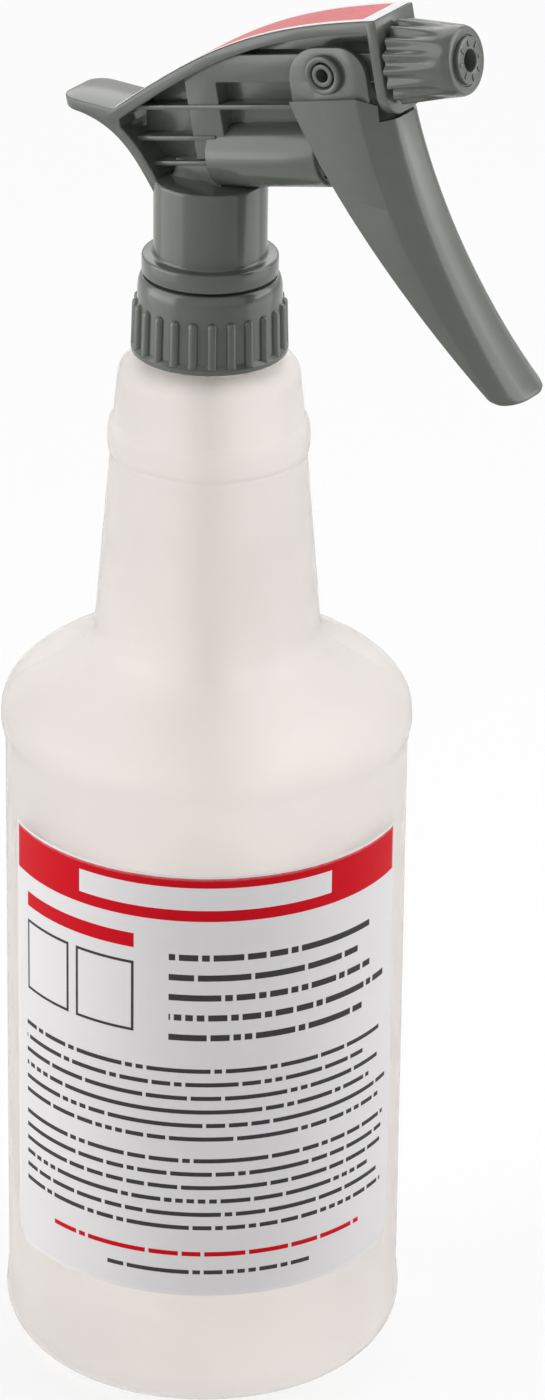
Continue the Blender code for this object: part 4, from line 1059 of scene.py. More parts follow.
@dataclass
class Bottle:
    """The blown bottle and the label round its panel. Curves are shares of the sizes above them."""

    foot_r: float = 0.0349
    foot_steps: int = 12
    bulge_r: float = 0.0444
    bulge_z: float = 0.0100
    panel_r: float = 0.04385
    panel_z: Point = (0.0160, 0.1465)
    shoulder_r: float = 0.04475
    shoulder_z: float = 0.1528
    shoulder_ease: float = 0.0108
    ridge_z: float = 0.1509
    ridge_edge: Point = (0.0002, 0.0005)
    neck_base_r: float = 0.0244
    neck_base_z: float = 0.1740
    neck_ease: float = 0.0085
    bead_r: float = 0.02186
    bead_z: float = 0.2178
    bead_half: float = 0.0041
    bead_rise: float = 0.0010
    bead_curve: tuple[Point, ...] = (
        (-1.4, 1.0), (-1.15, 0.85), (0.15, 0.70), (0.15, -0.80), (-0.62, -0.94), (-0.75, -1.03),
    )
    neck_top_r: float = 0.0196
    neck_top_z: float = 0.2306
    neck_top_curve: Point = (0.7, 0.55)
    height: float = 0.2476
    wall: float = 0.0012
    push_up: float = 0.0022
    push_up_in: Place = (0.003, 0.006, 0.012)
    finish_height: float = 0.0120
    finish_r: float = 0.01265
    bore_r: float = 0.0108
    land_chamfer: float = 0.0005
    thread_pitch: float = 0.004233
    thread_turns: float = 1.25
    thread_ridge: float = 0.0011
    thread_half_angle: float = 1.2
    thread_drop: float = 0.0030
    thread_steps: int = 48
    label_facing: float = math.radians(-57.8)
    label_half_angle: float = math.radians(67.6)
    label_z: Point = (0.0306, 0.1334)
    label_gap: float = 0.0001
    label_thick: float = 0.00015
    label_corner: float = 0.0045
    label_strips: int = 72
    steps: int = 128

    def build(self, shop: Workshop) -> None:
        """Builds the bottle with its thread, and the label.

        Args:
            shop: Where the pieces are made.
        """
        body, label = Shape().turned(self.profile(), self.steps), self.label()
        shop.piece("bottle_blown_body", body, Body.BOTTLE, Slot.MILKY, ["bottle"], crease=50.0)
        shop.piece("bottle_neck_thread", self.thread(), Body.BOTTLE, Slot.MILKY)
        shop.piece(
            "bottle_wrap_label", label, Body.BOTTLE, Slot.LABEL, ["bottle_label"], crease=60.0
        )

    def outside(self) -> Line:
        """The outer wall's profile.

        Returns:
            Its points, from the mouth down to the middle of the foot.
        """
        base = self.height - self.finish_height
        drop = base - self.neck_top_z
        out, up = self.neck_top_curve
        points = [(self.finish_r - self.land_chamfer, self.height)]
        points += [(self.finish_r, self.height - self.land_chamfer)]
        points += cubic((
            (self.finish_r, base),
            (self.finish_r + out * (self.neck_top_r - self.finish_r), base),
            (self.neck_top_r, self.neck_top_z + up * drop),
            (self.neck_top_r, self.neck_top_z),
        ), steps=10)
        bead = [
            (self.bead_r + r * self.bead_rise, self.bead_z + z * self.bead_half)
            for r, z in self.bead_curve
        ]
        points += [bead[0], *cubic(bead[1:5], steps=12), bead[5]]
        points += cubic((
            (self.neck_base_r, self.neck_base_z),
            (self.neck_base_r, self.neck_base_z - self.neck_ease),
            (self.shoulder_r, self.shoulder_z + self.shoulder_ease),
            (self.shoulder_r, self.shoulder_z),
        ), steps=24)
        inset, fall = self.ridge_edge
        points += [(self.shoulder_r, self.ridge_z), (self.shoulder_r - inset, self.ridge_z - fall)]
        points += [(self.panel_r, self.panel_z[1]), (self.panel_r, self.panel_z[0])]
        for i in range(self.foot_steps + 1):
            angle = QUARTER * i / self.foot_steps
            points.append((
                self.foot_r + (self.bulge_r - self.foot_r) * math.cos(angle),
                self.bulge_z * (1 - math.sin(angle)),
            ))
        ring, flat, slope = (self.foot_r - inwards for inwards in self.push_up_in)
        dome = ((ring, 0.0), (flat, 0.0), (slope, self.push_up), (0.0, self.push_up))
        points += cubic(dome, steps=8)
        return points

    def profile(self) -> Line:
        """The whole wall's profile.

        Returns:
            Its points, from the mouth down the outside and up the inside.
        """
        outer = self.outside()
        inner = [
            p for p in beside(outer, -self.wall)[2:]
            if p[0] > self.bore_r or p[1] < self.shoulder_z
        ]
        inner[-1] = (0.0, inner[-1][1])
        throat = self.height - self.finish_height - self.wall
        return outer + inner[::-1] + [(self.bore_r, throat), (self.bore_r, self.height), outer[0]]

    def thread(self) -> Shape:
        """The thread's round ridge.

        Returns:
            The ridge, wound up the finish.
        """
        half = self.thread_half_angle
        low = self.height - self.thread_drop - self.thread_turns * self.thread_pitch
        ridge = [
            (self.finish_r + r, low + z)
            for r, z in arc((0.0, 0.0), self.thread_ridge, -half, half, steps=6)
        ]
        root = self.finish_r - self.thread_ridge / 2
        ridge = [(root, ridge[0][1]), *ridge, (root, ridge[-1][1])]
        return Shape().coil(ridge, self.thread_steps, self.thread_turns, self.thread_pitch)

    def label(self) -> Shape:
        """The label: a flat sheet with round lower corners, wrapped round the panel.

        Returns:
            The label with its thickness. The vertex layer "inner" marks its back.
        """
        radius = self.panel_r + self.label_gap
        half = radius * self.label_half_angle
        low, high = self.label_z
        shape = Shape()
        bm = shape.bm
        places = ((-half, low), (half, low), (half, high), (-half, high))
        corners = [bm.verts.new((x, 0.0, z)) for x, z in places]
        bm.faces.new(corners)
        bmesh.ops.bevel(
            bm, geom=corners[:2], offset=self.label_corner, offset_type="OFFSET", segments=8,
            profile=0.5, affect="VERTICES", material=-1,
        )
        for i in range(1, self.label_strips):
            shape.cut((half * (2 * i / self.label_strips - 1), 0.0, 0.0), (1.0, 0.0, 0.0))
        shape.mapped(lambda at: ((at.x / half + 1) / 2, (at.z - low) / (high - low)))
        for vert in bm.verts:
            angle = self.label_facing + vert.co.x / radius
            vert.co = (radius * math.cos(angle), radius * math.sin(angle), vert.co.z)
        first = bm.faces[:][0]
        away = first.calc_center_median() * Vector((1, 1, 0))
        shape.walled(first, away, -self.label_thick).outwards()
        reach = [math.hypot(vert.co.x, vert.co.y) for vert in bm.verts]
        middle = (min(reach) + max(reach)) / 2
        inner = bm.verts.layers.float.new("inner")
        for vert in bm.verts:
            vert[inner] = float(math.hypot(vert.co.x, vert.co.y) < middle)
        return shape


@dataclass
class Closure:
    """The screw closure with its finger ribs."""

    bottom_z: float = 0.2369
    top_z: float = 0.2539
    wall_z: float = 0.2520
    hole_r: float = 0.0115
    bore_r: float = 0.01415
    skirt_r: float = 0.01575
    shoulder_r: float = 0.0154
    top_r: float = 0.0148
    top_edge: float = 0.00045
    shoulder_drop: float = 0.0036
    shoulder_curve: float = 0.3
    rim_r: float = 0.01675
    rim_height: float = 0.0016
    rim_fillet: float = 0.0004
    rim_edge: tuple[Point, Point] = ((-0.0004, -0.0001), (0.0, -0.0005))
    rim_chamfer: float = 0.0003
    ribs: int = 24
    rib_r: float = 0.00112
    rib_length: float = 0.0101
    rib_sides: int = 16
    rib_dome: float = 0.9
    rib_set_in: float = 0.0001
    rib_sink: float = 0.0003
    rib_phase: float = math.radians(4.1)
    # Share of the paler edge, rubbed wear and painted highlight, that the ribs keep
    rib_wear_and_highlight: float = 0.6
    steps: int = 96

    def build(self, shop: Workshop) -> None:
        """Builds the cap and the ribs round it.

        Args:
            shop: Where the pieces are made.
        """
        rim_top = self.bottom_z + self.rim_height
        shoulder = self.top_z - self.shoulder_drop
        profile = [(self.hole_r, self.top_z)]
        profile += cubic((
            (self.top_r - self.top_edge, self.top_z), (self.top_r, self.top_z),
            (self.shoulder_r, self.top_z - self.shoulder_curve * self.shoulder_drop),
            (self.shoulder_r, shoulder),
        ), steps=10)
        profile += [(self.skirt_r, rim_top + self.rim_fillet)]
        profile += [(self.rim_r + r, rim_top + z) for r, z in self.rim_edge]
        profile += [(self.rim_r, self.bottom_z + self.rim_chamfer)]
        profile += [(self.rim_r - self.rim_chamfer, self.bottom_z), (self.bore_r, self.bottom_z)]
        profile += [(self.bore_r, self.wall_z), (self.hole_r, self.wall_z)]
        cap = Shape().turned(profile, self.steps, closed=True)
        shop.piece("closure_cap", cap, Body.CLOSURE, Slot.GREY, ["closure"])
        shop.piece("closure_ribs", self.rib_ring(rim_top, shoulder), Body.CLOSURE, Slot.GREY)

    def rib_ring(self, low: float, shoulder: float) -> Shape:
        """One finger rib with a domed top, copied round the skirt.

        Args:
            low: Where the ribs start.
            shoulder: Where the skirt ends above.

        Returns:
            The ring of ribs.
        """
        shape = Shape()
        bmesh.ops.create_cone(
            shape.bm, cap_ends=True, segments=self.rib_sides, radius1=self.rib_r,
            radius2=self.rib_r, depth=self.rib_length,
        )
        rim = [e for e in shape.bm.edges if all(v.co.z > 0 for v in e.verts)]
        shape.bevel(rim, self.rib_r * self.rib_dome, segments=5)
        lean = math.atan2(self.skirt_r - self.shoulder_r, shoulder - low)
        out = (self.skirt_r + self.shoulder_r) / 2 - self.rib_set_in
        middle = Matrix.Translation((out, 0.0, low + self.rib_length / 2 - self.rib_sink))
        phase = Matrix.Rotation(self.rib_phase, 4, "Z")
        shape.moved(phase @ middle @ Matrix.Rotation(-lean, 4, "Y"))
        # The ribs keep part of the paler edge: rubbed wear and painted highlight
        for vert in shape.bm.verts:
            vert[shape.worn_and_lit] *= self.rib_wear_and_highlight
        return shape.copied_round(self.ribs)


@dataclass
class Deck:
    """The leaning frame of the head: u points at the nozzle, v up and square to u."""

    tilt: float = math.radians(11.3)
    height: float = 0.3006
    half_width: float = 0.00765
    strip_thick: float = 0.0024
    strip_rear: Point = (-0.02145, -0.00792)
    strip_rear_reach: float = 0.0280
    strip_rear_rise: float = 1.8
    strip_front_v: float = 0.01033
    strip_front_reach: float = 0.0300
    strip_front_dip: float = 0.02
    plate_front: float = 0.0465
    plate_thick: float = 0.0024
    plate_bottom: float = -0.0103
    plate_corner: float = 0.0055
    tail: Point = (-0.0350, -0.0071)
    tail_reach: float = 0.0140
    tail_droop: float = 0.22
    tail_corner: float = 0.0042
    heel: Point = (-0.0146, -0.0265)
    heel_lean: float = math.radians(24.0)
    heel_reach: float = 0.45
    pump_v: float = -0.0196
    pivot: Point = (0.0325, -0.00065)

    def matrix(self, u: float = 0.0, v: float = 0.0) -> Matrix:
        """From deck axes with their origin at (u, v) to the row frame."""
        lean = Matrix.Translation((0.0, 0.0, self.height)) @ Matrix.Rotation(-self.tilt, 4, "Y")
        return lean @ Matrix.Translation((u, 0.0, v))

    def along(self, u: float, v: float) -> Matrix:
        """Stands Z along u, for a shape that is spun round the deck's own axis."""
        return self.matrix(u, v) @ Matrix.Rotation(QUARTER, 4, "Y")

    def strip_line(self, steps: int = 40) -> Line:
        """The top strip's upper face.

        Args:
            steps: Number of steps.

        Returns:
            Its points, from the tail to the front plate.
        """
        rear_u, rear_v = self.strip_rear
        end = (self.plate_front, self.strip_front_v)
        slope = self.strip_rear_rise * math.atan2(end[1] - rear_v, end[0] - rear_u)
        first = (
            rear_u + self.strip_rear_reach * math.cos(slope),
            rear_v + self.strip_rear_reach * math.sin(slope),
        )
        dip = self.strip_front_dip * self.strip_front_reach
        second = (end[0] - self.strip_front_reach, end[1] - dip)
        return cubic((self.strip_rear, first, second, end), steps)

    def heel_line(self, steps: int = 32) -> Line:
        """The outer line of the tail's underside and the strip that runs down to the shank.

        Args:
            steps: Number of steps.

        Returns:
            Its points, from the tail to the shank.
        """
        tail_u, tail_v = self.tail
        heel_u, heel_v = self.heel
        run = math.hypot(heel_u - tail_u - self.tail_reach, heel_v - tail_v)
        reach = self.heel_reach * run
        first = (tail_u + self.tail_reach, tail_v - self.tail_droop * self.tail_reach)
        second = (
            heel_u - reach * math.sin(self.heel_lean),
            heel_v + reach * math.cos(self.heel_lean),
        )
        return cubic((self.tail, first, second, self.heel), steps)


@dataclass
class SprayerHead:
    """The fixed body of the head, from the strip on its top to the collar on the closure.

    Laps are lengths by which one piece runs into the next. The inner corner's drop is a multiple
    of the strip's thickness.
    """

    deck: Deck
    edge: float = 0.00035
    inner_corner_drop: float = 1.5
    web_half: float = 0.0010
    web_edge: float = 0.00022
    rib_half: float = 0.0054
    rib_thick: float = 0.0010
    ribs: tuple[Point, ...] = ((-0.0082, 0.0250), (-0.0149, 0.0015), (-0.0203, 0.0015))
    pillar_u: Point = (-0.0043, 0.0035)
    bar_half: float = 0.0030
    bar_half_width: float = 0.0050
    bar_edge: float = 0.0005
    pump_r: float = 0.0070
    pump_bore_r: float = 0.0055
    pump_u: Point = (-0.0010, 0.0262)
    pump_wall: float = 0.0014
    pump_edge: float = 0.0005
    inlet_drop: float = 0.0034
    inlet_r: float = 0.0024
    inlet_laps: Point = (0.0007, 0.0008)
    barrel_r: float = 0.0046
    barrel_u: Point = (0.0340, 0.0570)
    barrel_wall: float = 0.003
    barrel_edge: float = 0.0003
    seal_seat: Point = (0.0002, 0.0046)
    chamber_r: float = 0.0025
    trunnion_r: float = 0.0024
    trunnion_bore_r: float = 0.0014
    trunnion_end: float = 0.0087
    trunnion_depth: float = 0.0040
    trunnion_edge: float = 0.0002
    flange_z: float = 0.2497
    flange_r: float = 0.0126
    flange_thick: float = 0.0020
    collar_z: float = 0.25435
    collar_r: float = 0.0145
    shank_z: float = 0.25855
    shank_top_z: float = 0.2754
    shank_r: float = 0.01205
    shank_neck_r: float = 0.0112
    shank_edge: float = 0.00063
    shank_wall: float = 0.0017
    core_r: float = 0.0066
    core_bore_r: float = 0.0049
    inlet_neck_r: float = 0.0034
    inlet_neck_lap: float = 0.0008
    inlet_flare: float = 0.0014
    flare_curve: tuple[Point, ...] = ((0.0, 2.2), (0.0, 0.6), (0.3, 0.1), (1.3, 0.0))
    saddle_x: Point = (-0.0062, 0.0050)
    saddle_half: float = 0.0040
    saddle_lap: float = 0.0002
    saddle_foot: tuple[Point, ...] = (
        (-0.0027, 0.0), (-0.0007, 0.0001), (-0.0002, 0.0010), (0.0, 0.0029),
    )
    saddle_rear_top: Point = (0.0001, 0.0042)
    saddle_front_top: float = 0.0052
    saddle_edge: float = 0.0006
    film_margin: float = 0.0004
    film_gap: float = 0.0001
    film_thick: float = 0.00015

    def build(self, shop: Workshop) -> None:
        """Builds the body's pieces and the film on the strip.

        Args:
            shop: Where the pieces are made.
        """
        deck = self.deck.matrix()
        for name, shape, stands_for in (
            ("sprayer_strip", self.strip().moved(deck), ["sprayer_body"]),
            ("sprayer_web", self.web().moved(deck), ()),
            ("sprayer_channel", self.channel().moved(deck), ()),
            ("sprayer_pump", self.pump(), ()),
            ("sprayer_barrel", self.barrel(), ()),
            ("sprayer_trunnions", self.trunnions(), ()),
            ("sprayer_shank", self.shank(), ()),
            ("sprayer_inlet_neck", self.inlet_neck(), ()),
            ("sprayer_saddle", self.saddle(), ()),
        ):
            shop.piece(name, shape, Body.SPRAYER, Slot.GREY, stands_for)
        film = self.film().moved(deck)
        shop.piece("strip_film", film, Body.SPRAYER, Slot.RED, ["top_label"], crease=60.0)

    def strip(self) -> Shape:
        """Tail, heel, strip and front plate as one bent band.

        Returns:
            The band, with the tail's and the plate's corners rounded.
        """
        deck = self.deck
        strip = deck.strip_line()
        heel = deck.heel_line()
        heel = heel[:1] + [p for p in heel if p[0] > deck.tail[0] + deck.tail_corner]
        corner = deck.strip_rear[1] - self.inner_corner_drop * deck.strip_thick
        inner = [p for p in beside(heel, deck.strip_thick) if p[1] < corner]
        under = beside(strip, -deck.strip_thick)
        rear_face = deck.plate_front - deck.plate_thick
        outline = strip[::-1] + [(deck.tail[0], deck.tail[1] + deck.strip_thick)] + heel
        outline += inner[::-1] + between(under, under[0][0], rear_face)
        outline += [(rear_face, deck.plate_bottom), (deck.plate_front, deck.plate_bottom)]
        shape = Shape().slab(outline, -deck.half_width, deck.half_width)
        shape.bevel(self.side_edges(shape, 0, deck.tail[0]), deck.tail_corner, segments=8)
        shape.bevel(self.side_edges(shape, 2, deck.plate_bottom), deck.plate_corner, segments=10)
        return shape.round_edges(self.edge, segments=3)

    @staticmethod
    def side_edges(shape: Shape, axis: int, level: float) -> list[BMEdge]:
        """Edges of a band's two sides that lie at one level.

        Args:
            shape: The band.
            axis: Which coordinate the level is on.
            level: The level.

        Returns:
            The edges.
        """
        found = []
        for edge in shape.bm.edges:
            a, b = (vert.co for vert in edge.verts)
            if max(abs(a[axis] - level), abs(b[axis] - level), abs(a.y - b.y)) < WELD:
                found.append(edge)
        return found

    def web(self) -> Shape:
        """The thin wall on the middle plane, and the ribs that cross it.

        Returns:
            Both as one shape.
        """
        deck = self.deck
        half = deck.strip_thick / 2
        top = beside(deck.strip_line(), -half)
        heel = beside(deck.heel_line(), half)
        rear = deck.strip_rear[0] + deck.strip_thick
        front = deck.plate_front - deck.plate_thick / 2
        pump_rear, pump_front = self.pump_u
        step = pump_front - 2 * self.pump_wall
        outline = [p for p in top if rear < p[0] < front]
        outline += [
            (front, outline[-1][1]), (front, 0.0), (step, 0.0), (step, deck.pump_v),
            (pump_rear + self.pump_wall, deck.pump_v), (pump_rear, deck.heel[1]),
        ]
        outline += [p for p in heel if p[0] > rear][::-1]
        shape = Shape().slab(outline, -self.web_half, self.web_half)
        for (v, end), line in zip(self.ribs, (top[::-1], heel, heel)):
            low = (crossing(line, v), -self.rib_half, v - self.rib_thick / 2)
            shape.bar(low, (end, self.rib_half, v + self.rib_thick / 2))
        return shape.round_edges(self.web_edge)

    def channel(self) -> Shape:
        """The upright liquid channel and the bar on to the nozzle.

        Returns:
            Both as one L.
        """
        deck = self.deck
        under = beside(deck.strip_line(), -deck.strip_thick / 2)
        front = deck.plate_front - deck.plate_thick / 2
        rear, step = self.pillar_u
        outline = between(under, rear, crossing(under[::-1], self.bar_half))
        outline += [
            (front, self.bar_half), (front, -self.bar_half), (step, -self.bar_half),
            (step, deck.pump_v), (rear, deck.pump_v),
        ]
        shape = Shape().slab(outline, -self.bar_half_width, self.bar_half_width)
        return shape.round_edges(self.bar_edge, segments=3)

    def pump(self) -> Shape:
        """The pump's cylinder, open at the front, with the passage under its rear end.

        Returns:
            The cylinder in its place.
        """
        rear, front = self.pump_u
        floor = rear + self.pump_wall
        profile = eased([
            (0.0, floor), (self.pump_bore_r, floor), (self.pump_bore_r, front),
            (self.pump_r, front), (self.pump_r, rear), (0.0, rear),
        ], self.pump_edge)
        drop = self.inlet_drop
        start = (self.deck.pump_v - drop) * math.tan(self.deck.tilt) - self.inlet_laps[0]
        end = rear + self.inlet_laps[1]
        shape = Shape().turned(profile, steps=72)
        shape.rod(self.inlet_r, (drop, 0.0, start), (drop, 0.0, end), segments=32)
        return shape.moved(self.deck.along(0.0, self.deck.pump_v))

    def barrel(self) -> Shape:
        """The barrel that carries the nozzle, stepped in for the seal.

        Returns:
            The barrel in its place.
        """
        rear, front = self.barrel_u
        floor = rear + self.barrel_wall
        seat_r, seat = self.barrel_r - self.seal_seat[0], front - self.seal_seat[1]
        profile = eased([
            (self.chamber_r, floor), (self.chamber_r, front), (seat_r, front), (seat_r, seat),
            (self.barrel_r, seat), (self.barrel_r, rear), (0.0, rear),
        ], self.barrel_edge)
        shape = Shape().turned([(0.0, floor)] + profile, steps=48)
        return shape.moved(self.deck.along(0.0, 0.0))

    def trunnions(self) -> Shape:
        """The two hollow pins that the trigger swings on.

        Returns:
            Both pins in their place.
        """
        end = self.trunnion_end
        floor = end - self.trunnion_depth
        profile = eased([
            (0.0, floor), (self.trunnion_bore_r, floor), (self.trunnion_bore_r, end),
            (self.trunnion_r, end), (self.trunnion_r, 0.0),
        ], self.trunnion_edge)
        place = self.deck.matrix(*self.deck.pivot) @ Matrix.Rotation(-QUARTER, 4, "X")
        return Shape().turned(profile, steps=40).mirrored("Z", WELD).moved(place)

    def shank(self) -> Shape:
        """Shank, collar, the neck inside the closure and the flange under it.

        Returns:
            The shank, hollow round a middle tube.
        """
        top = self.shank_top_z
        roof = top - self.shank_wall
        neck_top = self.flange_z + self.flange_thick
        hollow = self.shank_neck_r - self.shank_wall
        profile = eased([
            (0.0, top), (self.shank_r, top), (self.shank_r, self.shank_z),
            (self.collar_r, self.shank_z), (self.collar_r, self.collar_z),
            (self.shank_neck_r, self.collar_z), (self.shank_neck_r, neck_top),
            (self.flange_r, neck_top), (self.flange_r, self.flange_z), (hollow, self.flange_z),
            (hollow, roof), (self.core_r, roof), (self.core_r, self.flange_z),
            (self.core_bore_r, self.flange_z), (self.core_bore_r, top - 2 * self.shank_wall),
            (0.0, top - 2 * self.shank_wall),
        ], self.shank_edge, steps=4)
        return Shape().turned(profile, steps=96)

    def inlet_neck(self) -> Shape:
        """The short neck between the shank and the pump, flared at its foot.

        Returns:
            The neck.
        """
        deck = self.deck
        rib_low = self.ribs[2][0] - self.rib_thick / 2
        top = deck.height + rib_low / math.cos(deck.tilt) + self.inlet_neck_lap
        foot = self.shank_top_z - self.inlet_neck_lap
        flare = [
            (self.inlet_neck_r + r * self.inlet_flare, self.shank_top_z + z * self.inlet_flare)
            for r, z in self.flare_curve
        ]
        profile = [(0.0, top), (self.inlet_neck_r, top), *cubic(flare, steps=8)]
        profile += [(flare[-1][0], foot), (0.0, foot)]
        return Shape().turned(profile, steps=48)

    def saddle(self) -> Shape:
        """The block between the shank's top and the lowest rib, flared at its rear foot.

        Returns:
            The block.
        """
        foot = self.shank_top_z - self.saddle_lap
        rear, front = self.saddle_x
        outline = cubic([(rear + x, foot + z) for x, z in self.saddle_foot], steps=8)
        outline += [(rear + self.saddle_rear_top[0], foot + self.saddle_rear_top[1])]
        outline += [(front, foot + self.saddle_front_top), (front, foot)]
        shape = Shape().slab(outline, -self.saddle_half, self.saddle_half)
        return shape.round_edges(self.saddle_edge, segments=3)

    def film(self) -> Shape:
        """The film along the strip, with a UV map that runs along and across it.

        Returns:
            The film with its thickness.
        """
        deck = self.deck
        rear, front = deck.strip_rear[0] + self.film_margin, deck.plate_front - self.film_margin
        line = beside(between(deck.strip_line(steps=64), rear, front), self.film_gap)
        half = deck.half_width - self.film_margin
        shape = Shape()
        edges = shape.chain([(x, -half, z) for x, z in line])[1]
        raised = bmesh.ops.extrude_edge_only(shape.bm, edges=edges)["geom"]
        bmesh.ops.translate(shape.bm, vec=(0.0, 2 * half, 0.0), verts=verts_of(raised))
        shape.outwards()
        start, run = line[0][0], line[-1][0] - line[0][0]
        shape.mapped(lambda at: ((at.x - start) / run, at.y / (2 * half) + 0.5))
        up = Vector((0.0, 0.0, 1.0))
        return shape.walled(shape.bm.faces[:][0], up, -self.film_thick).outwards()


@dataclass
class Trigger:
    """The hollow trigger with its ears and its drive pin. Places are measured from the pivot."""

    deck: Deck
    half: float = 0.0089
    front_half: float = 0.0047
    wall: float = 0.0016
    stations: int = 20
    off_middle: float = 0.2
    front_line: tuple[Point, ...] = (
        (0.0135, -0.0085), (0.0146, -0.0295), (0.0224, -0.0520), (0.0342, -0.0716),
    )
    cheek_line: tuple[Point, ...] = (
        (0.0075, -0.0050), (0.0090, -0.0270), (0.0172, -0.0500), (0.0308, -0.0707),
    )
    rear_line: tuple[Point, ...] = (
        (-0.0089, -0.0054), (-0.0020, -0.0273), (0.0144, -0.0524), (0.0292, -0.0701),
    )
    notch: Point = (0.0109, -0.01035)
    rim_round: float = 0.0004
    rim_angle: float = 60.0
    cheek_round: float = 0.0006
    front_round: float = 0.0022
    tip_round: float = 0.0018
    tip_steps: int = 4
    tip_rear: float = 0.5
    tip_front: float = 0.6
    weld: float = 0.00001
    least_edge: float = 0.00002
    ear_y: Point = (0.0059, 0.0075)
    ear_u: Point = (-0.0090, 0.0098)
    ear_v: Point = (-0.0095, 0.0056)
    ear_corners: Point = (0.0075, 0.0062)
    ear_taper: float = 0.0020
    ear_edge: float = 0.0003
    boss_r: float = 0.00405
    boss_rise: float = 0.0014
    boss_lap: float = 0.0004
    boss_draft: float = 0.0003
    boss_lip: Point = (0.0004, 0.0009)
    boss_edge: float = 0.0006
    hole_r: float = 0.0026
    pin_r: float = 0.0015
    pin: Point = (0.004028, -0.01895)
    pin_set_in: float = 0.001

    def build(self, shop: Workshop) -> None:
        """Builds the trigger's pieces.

        Args:
            shop: Where the pieces are made.
        """
        end = self.half - self.pin_set_in
        u, v = self.pin
        pin = Shape().rod(self.pin_r, (u, -end, v), (u, end, v), segments=24)
        place = self.deck.matrix(*self.deck.pivot)
        for name, shape, stands_for in (
            ("trigger_lever", self.lever(), ["trigger"]),
            ("trigger_ears", self.ears(), ()),
            ("trigger_pin", pin, ()),
        ):
            shop.piece(name, shape.moved(place), Body.TRIGGER, Slot.GREY, stands_for)

    def sections(self) -> list[list[Vector]]:
        """Open sections across the lever.

        Returns:
            The sections from its top to its tip, the last ones drawn in to round the tip.
        """
        corners = (self.front_line, self.cheek_line, self.rear_line)
        lines = [cubic(line, self.stations) for line in corners]
        made = [self.section(*spots, 0.0) for spots in zip(*lines)][:-1]
        ends = [Vector(line[-1]) for line in lines]
        ways = [(Vector(line[-1]) - Vector(line[-2])).normalized() for line in lines]
        across = (ends[0] - ends[2]).normalized()
        for i in range(self.tip_steps + 1):
            angle = QUARTER * i / self.tip_steps
            inset = self.tip_round * (1 - math.cos(angle))
            back = self.tip_round * (1 - math.sin(angle))
            front, cheek, rear = (end - back * way for end, way in zip(ends, ways))
            front, rear = front - inset * across, rear + self.tip_rear * inset * across
            made.append(self.section(front, cheek, rear, inset))
        return made

    def section(
        self, front: Sequence[float], cheek: Sequence[float], rear: Sequence[float], inset: float
    ) -> list[Vector]:
        """One open section: rear and cheek at full width, then the narrower front.

        Args:
            front: The front wall's place along and up.
            cheek: Where the cheek turns to the front.
            rear: The cheek's rear edge.
            inset: How far the sides are drawn in.

        Returns:
            Six points from one rear edge to the other.
        """
        half = self.half - inset
        side = [(rear, half), (cheek, half), (front, self.front_half - self.tip_front * inset)]
        right = [Vector((p[0], -y, p[1])) for p, y in side]
        return right + [Vector((p[0], y, p[1])) for p, y in side[::-1]]

    def lever(self) -> Shape:
        """The lever: sections extruded edge by edge, closed at the tip and rounded.

        Returns:
            The lever with its wall.
        """
        shape = Shape()
        bm = shape.bm
        sections = self.sections()
        solid_from = len(sections) - self.tip_steps - 2
        row, edges = shape.chain(sections[0])
        cheek_ridges: list[BMEdge] = []
        front_ridges: list[BMEdge] = []
        for i, section in enumerate(sections[1:]):
            fresh = verts_of(bmesh.ops.extrude_edge_only(bm, edges=edges)["geom"])
            ahead = [
                min(fresh, key=lambda v, o=old: (v.co - o.co).length_squared) for old in row
            ]
            for vert, spot in zip(ahead, section):
                vert.co = spot
            # Points 1 and 4 of a section are the cheeks' ridges, 2 and 3 the front's
            runs = [bm.edges.get(pair) for pair in zip(row, ahead)]
            cheek_ridges += [runs[1], runs[4]]
            front_ridges += [runs[2], runs[3]]
            if i >= solid_from:
                bm.faces.new((row[0], row[-1], ahead[-1], ahead[0]))
            row = ahead
            edges = [bm.edges.get(pair) for pair in zip(row, row[1:])]
        bm.faces.new(row)
        shape.outwards()
        shape.bevel(front_ridges, self.front_round, segments=7)
        shape.bevel([e for e in cheek_ridges if e.is_valid], self.cheek_round, segments=3)
        self.cut_notch(shape)
        shape.tidy(self.weld)
        shape.walled(max(bm.faces, key=self.foremost), Vector((1.0, 0.0, 0.0)), self.wall)
        return shape.round_edges(self.rim_round, sharper=self.rim_angle).clean(self.least_edge)

    def foremost(self, face: BMFace) -> float:
        """How far a face lies to the front, with less for one off the middle."""
        centre = face.calc_center_median()
        return centre.x - self.off_middle * abs(centre.y)

    def cut_notch(self, shape: Shape) -> None:
        """Cuts the front wall back under the plate, so that the lever can swing.

        Args:
            shape: The lever.
        """
        front, top = self.notch
        shape.cut((0.0, 0.0, top), (0.0, 0.0, 1.0))
        shape.cut((front, 0.0, 0.0), (1.0, 0.0, 0.0))
        gone = []
        for face in shape.bm.faces:
            centre = face.calc_center_median()
            if centre.x > front and centre.z > top:
                gone.append(face)
        bmesh.ops.delete(shape.bm, geom=gone, context="FACES")

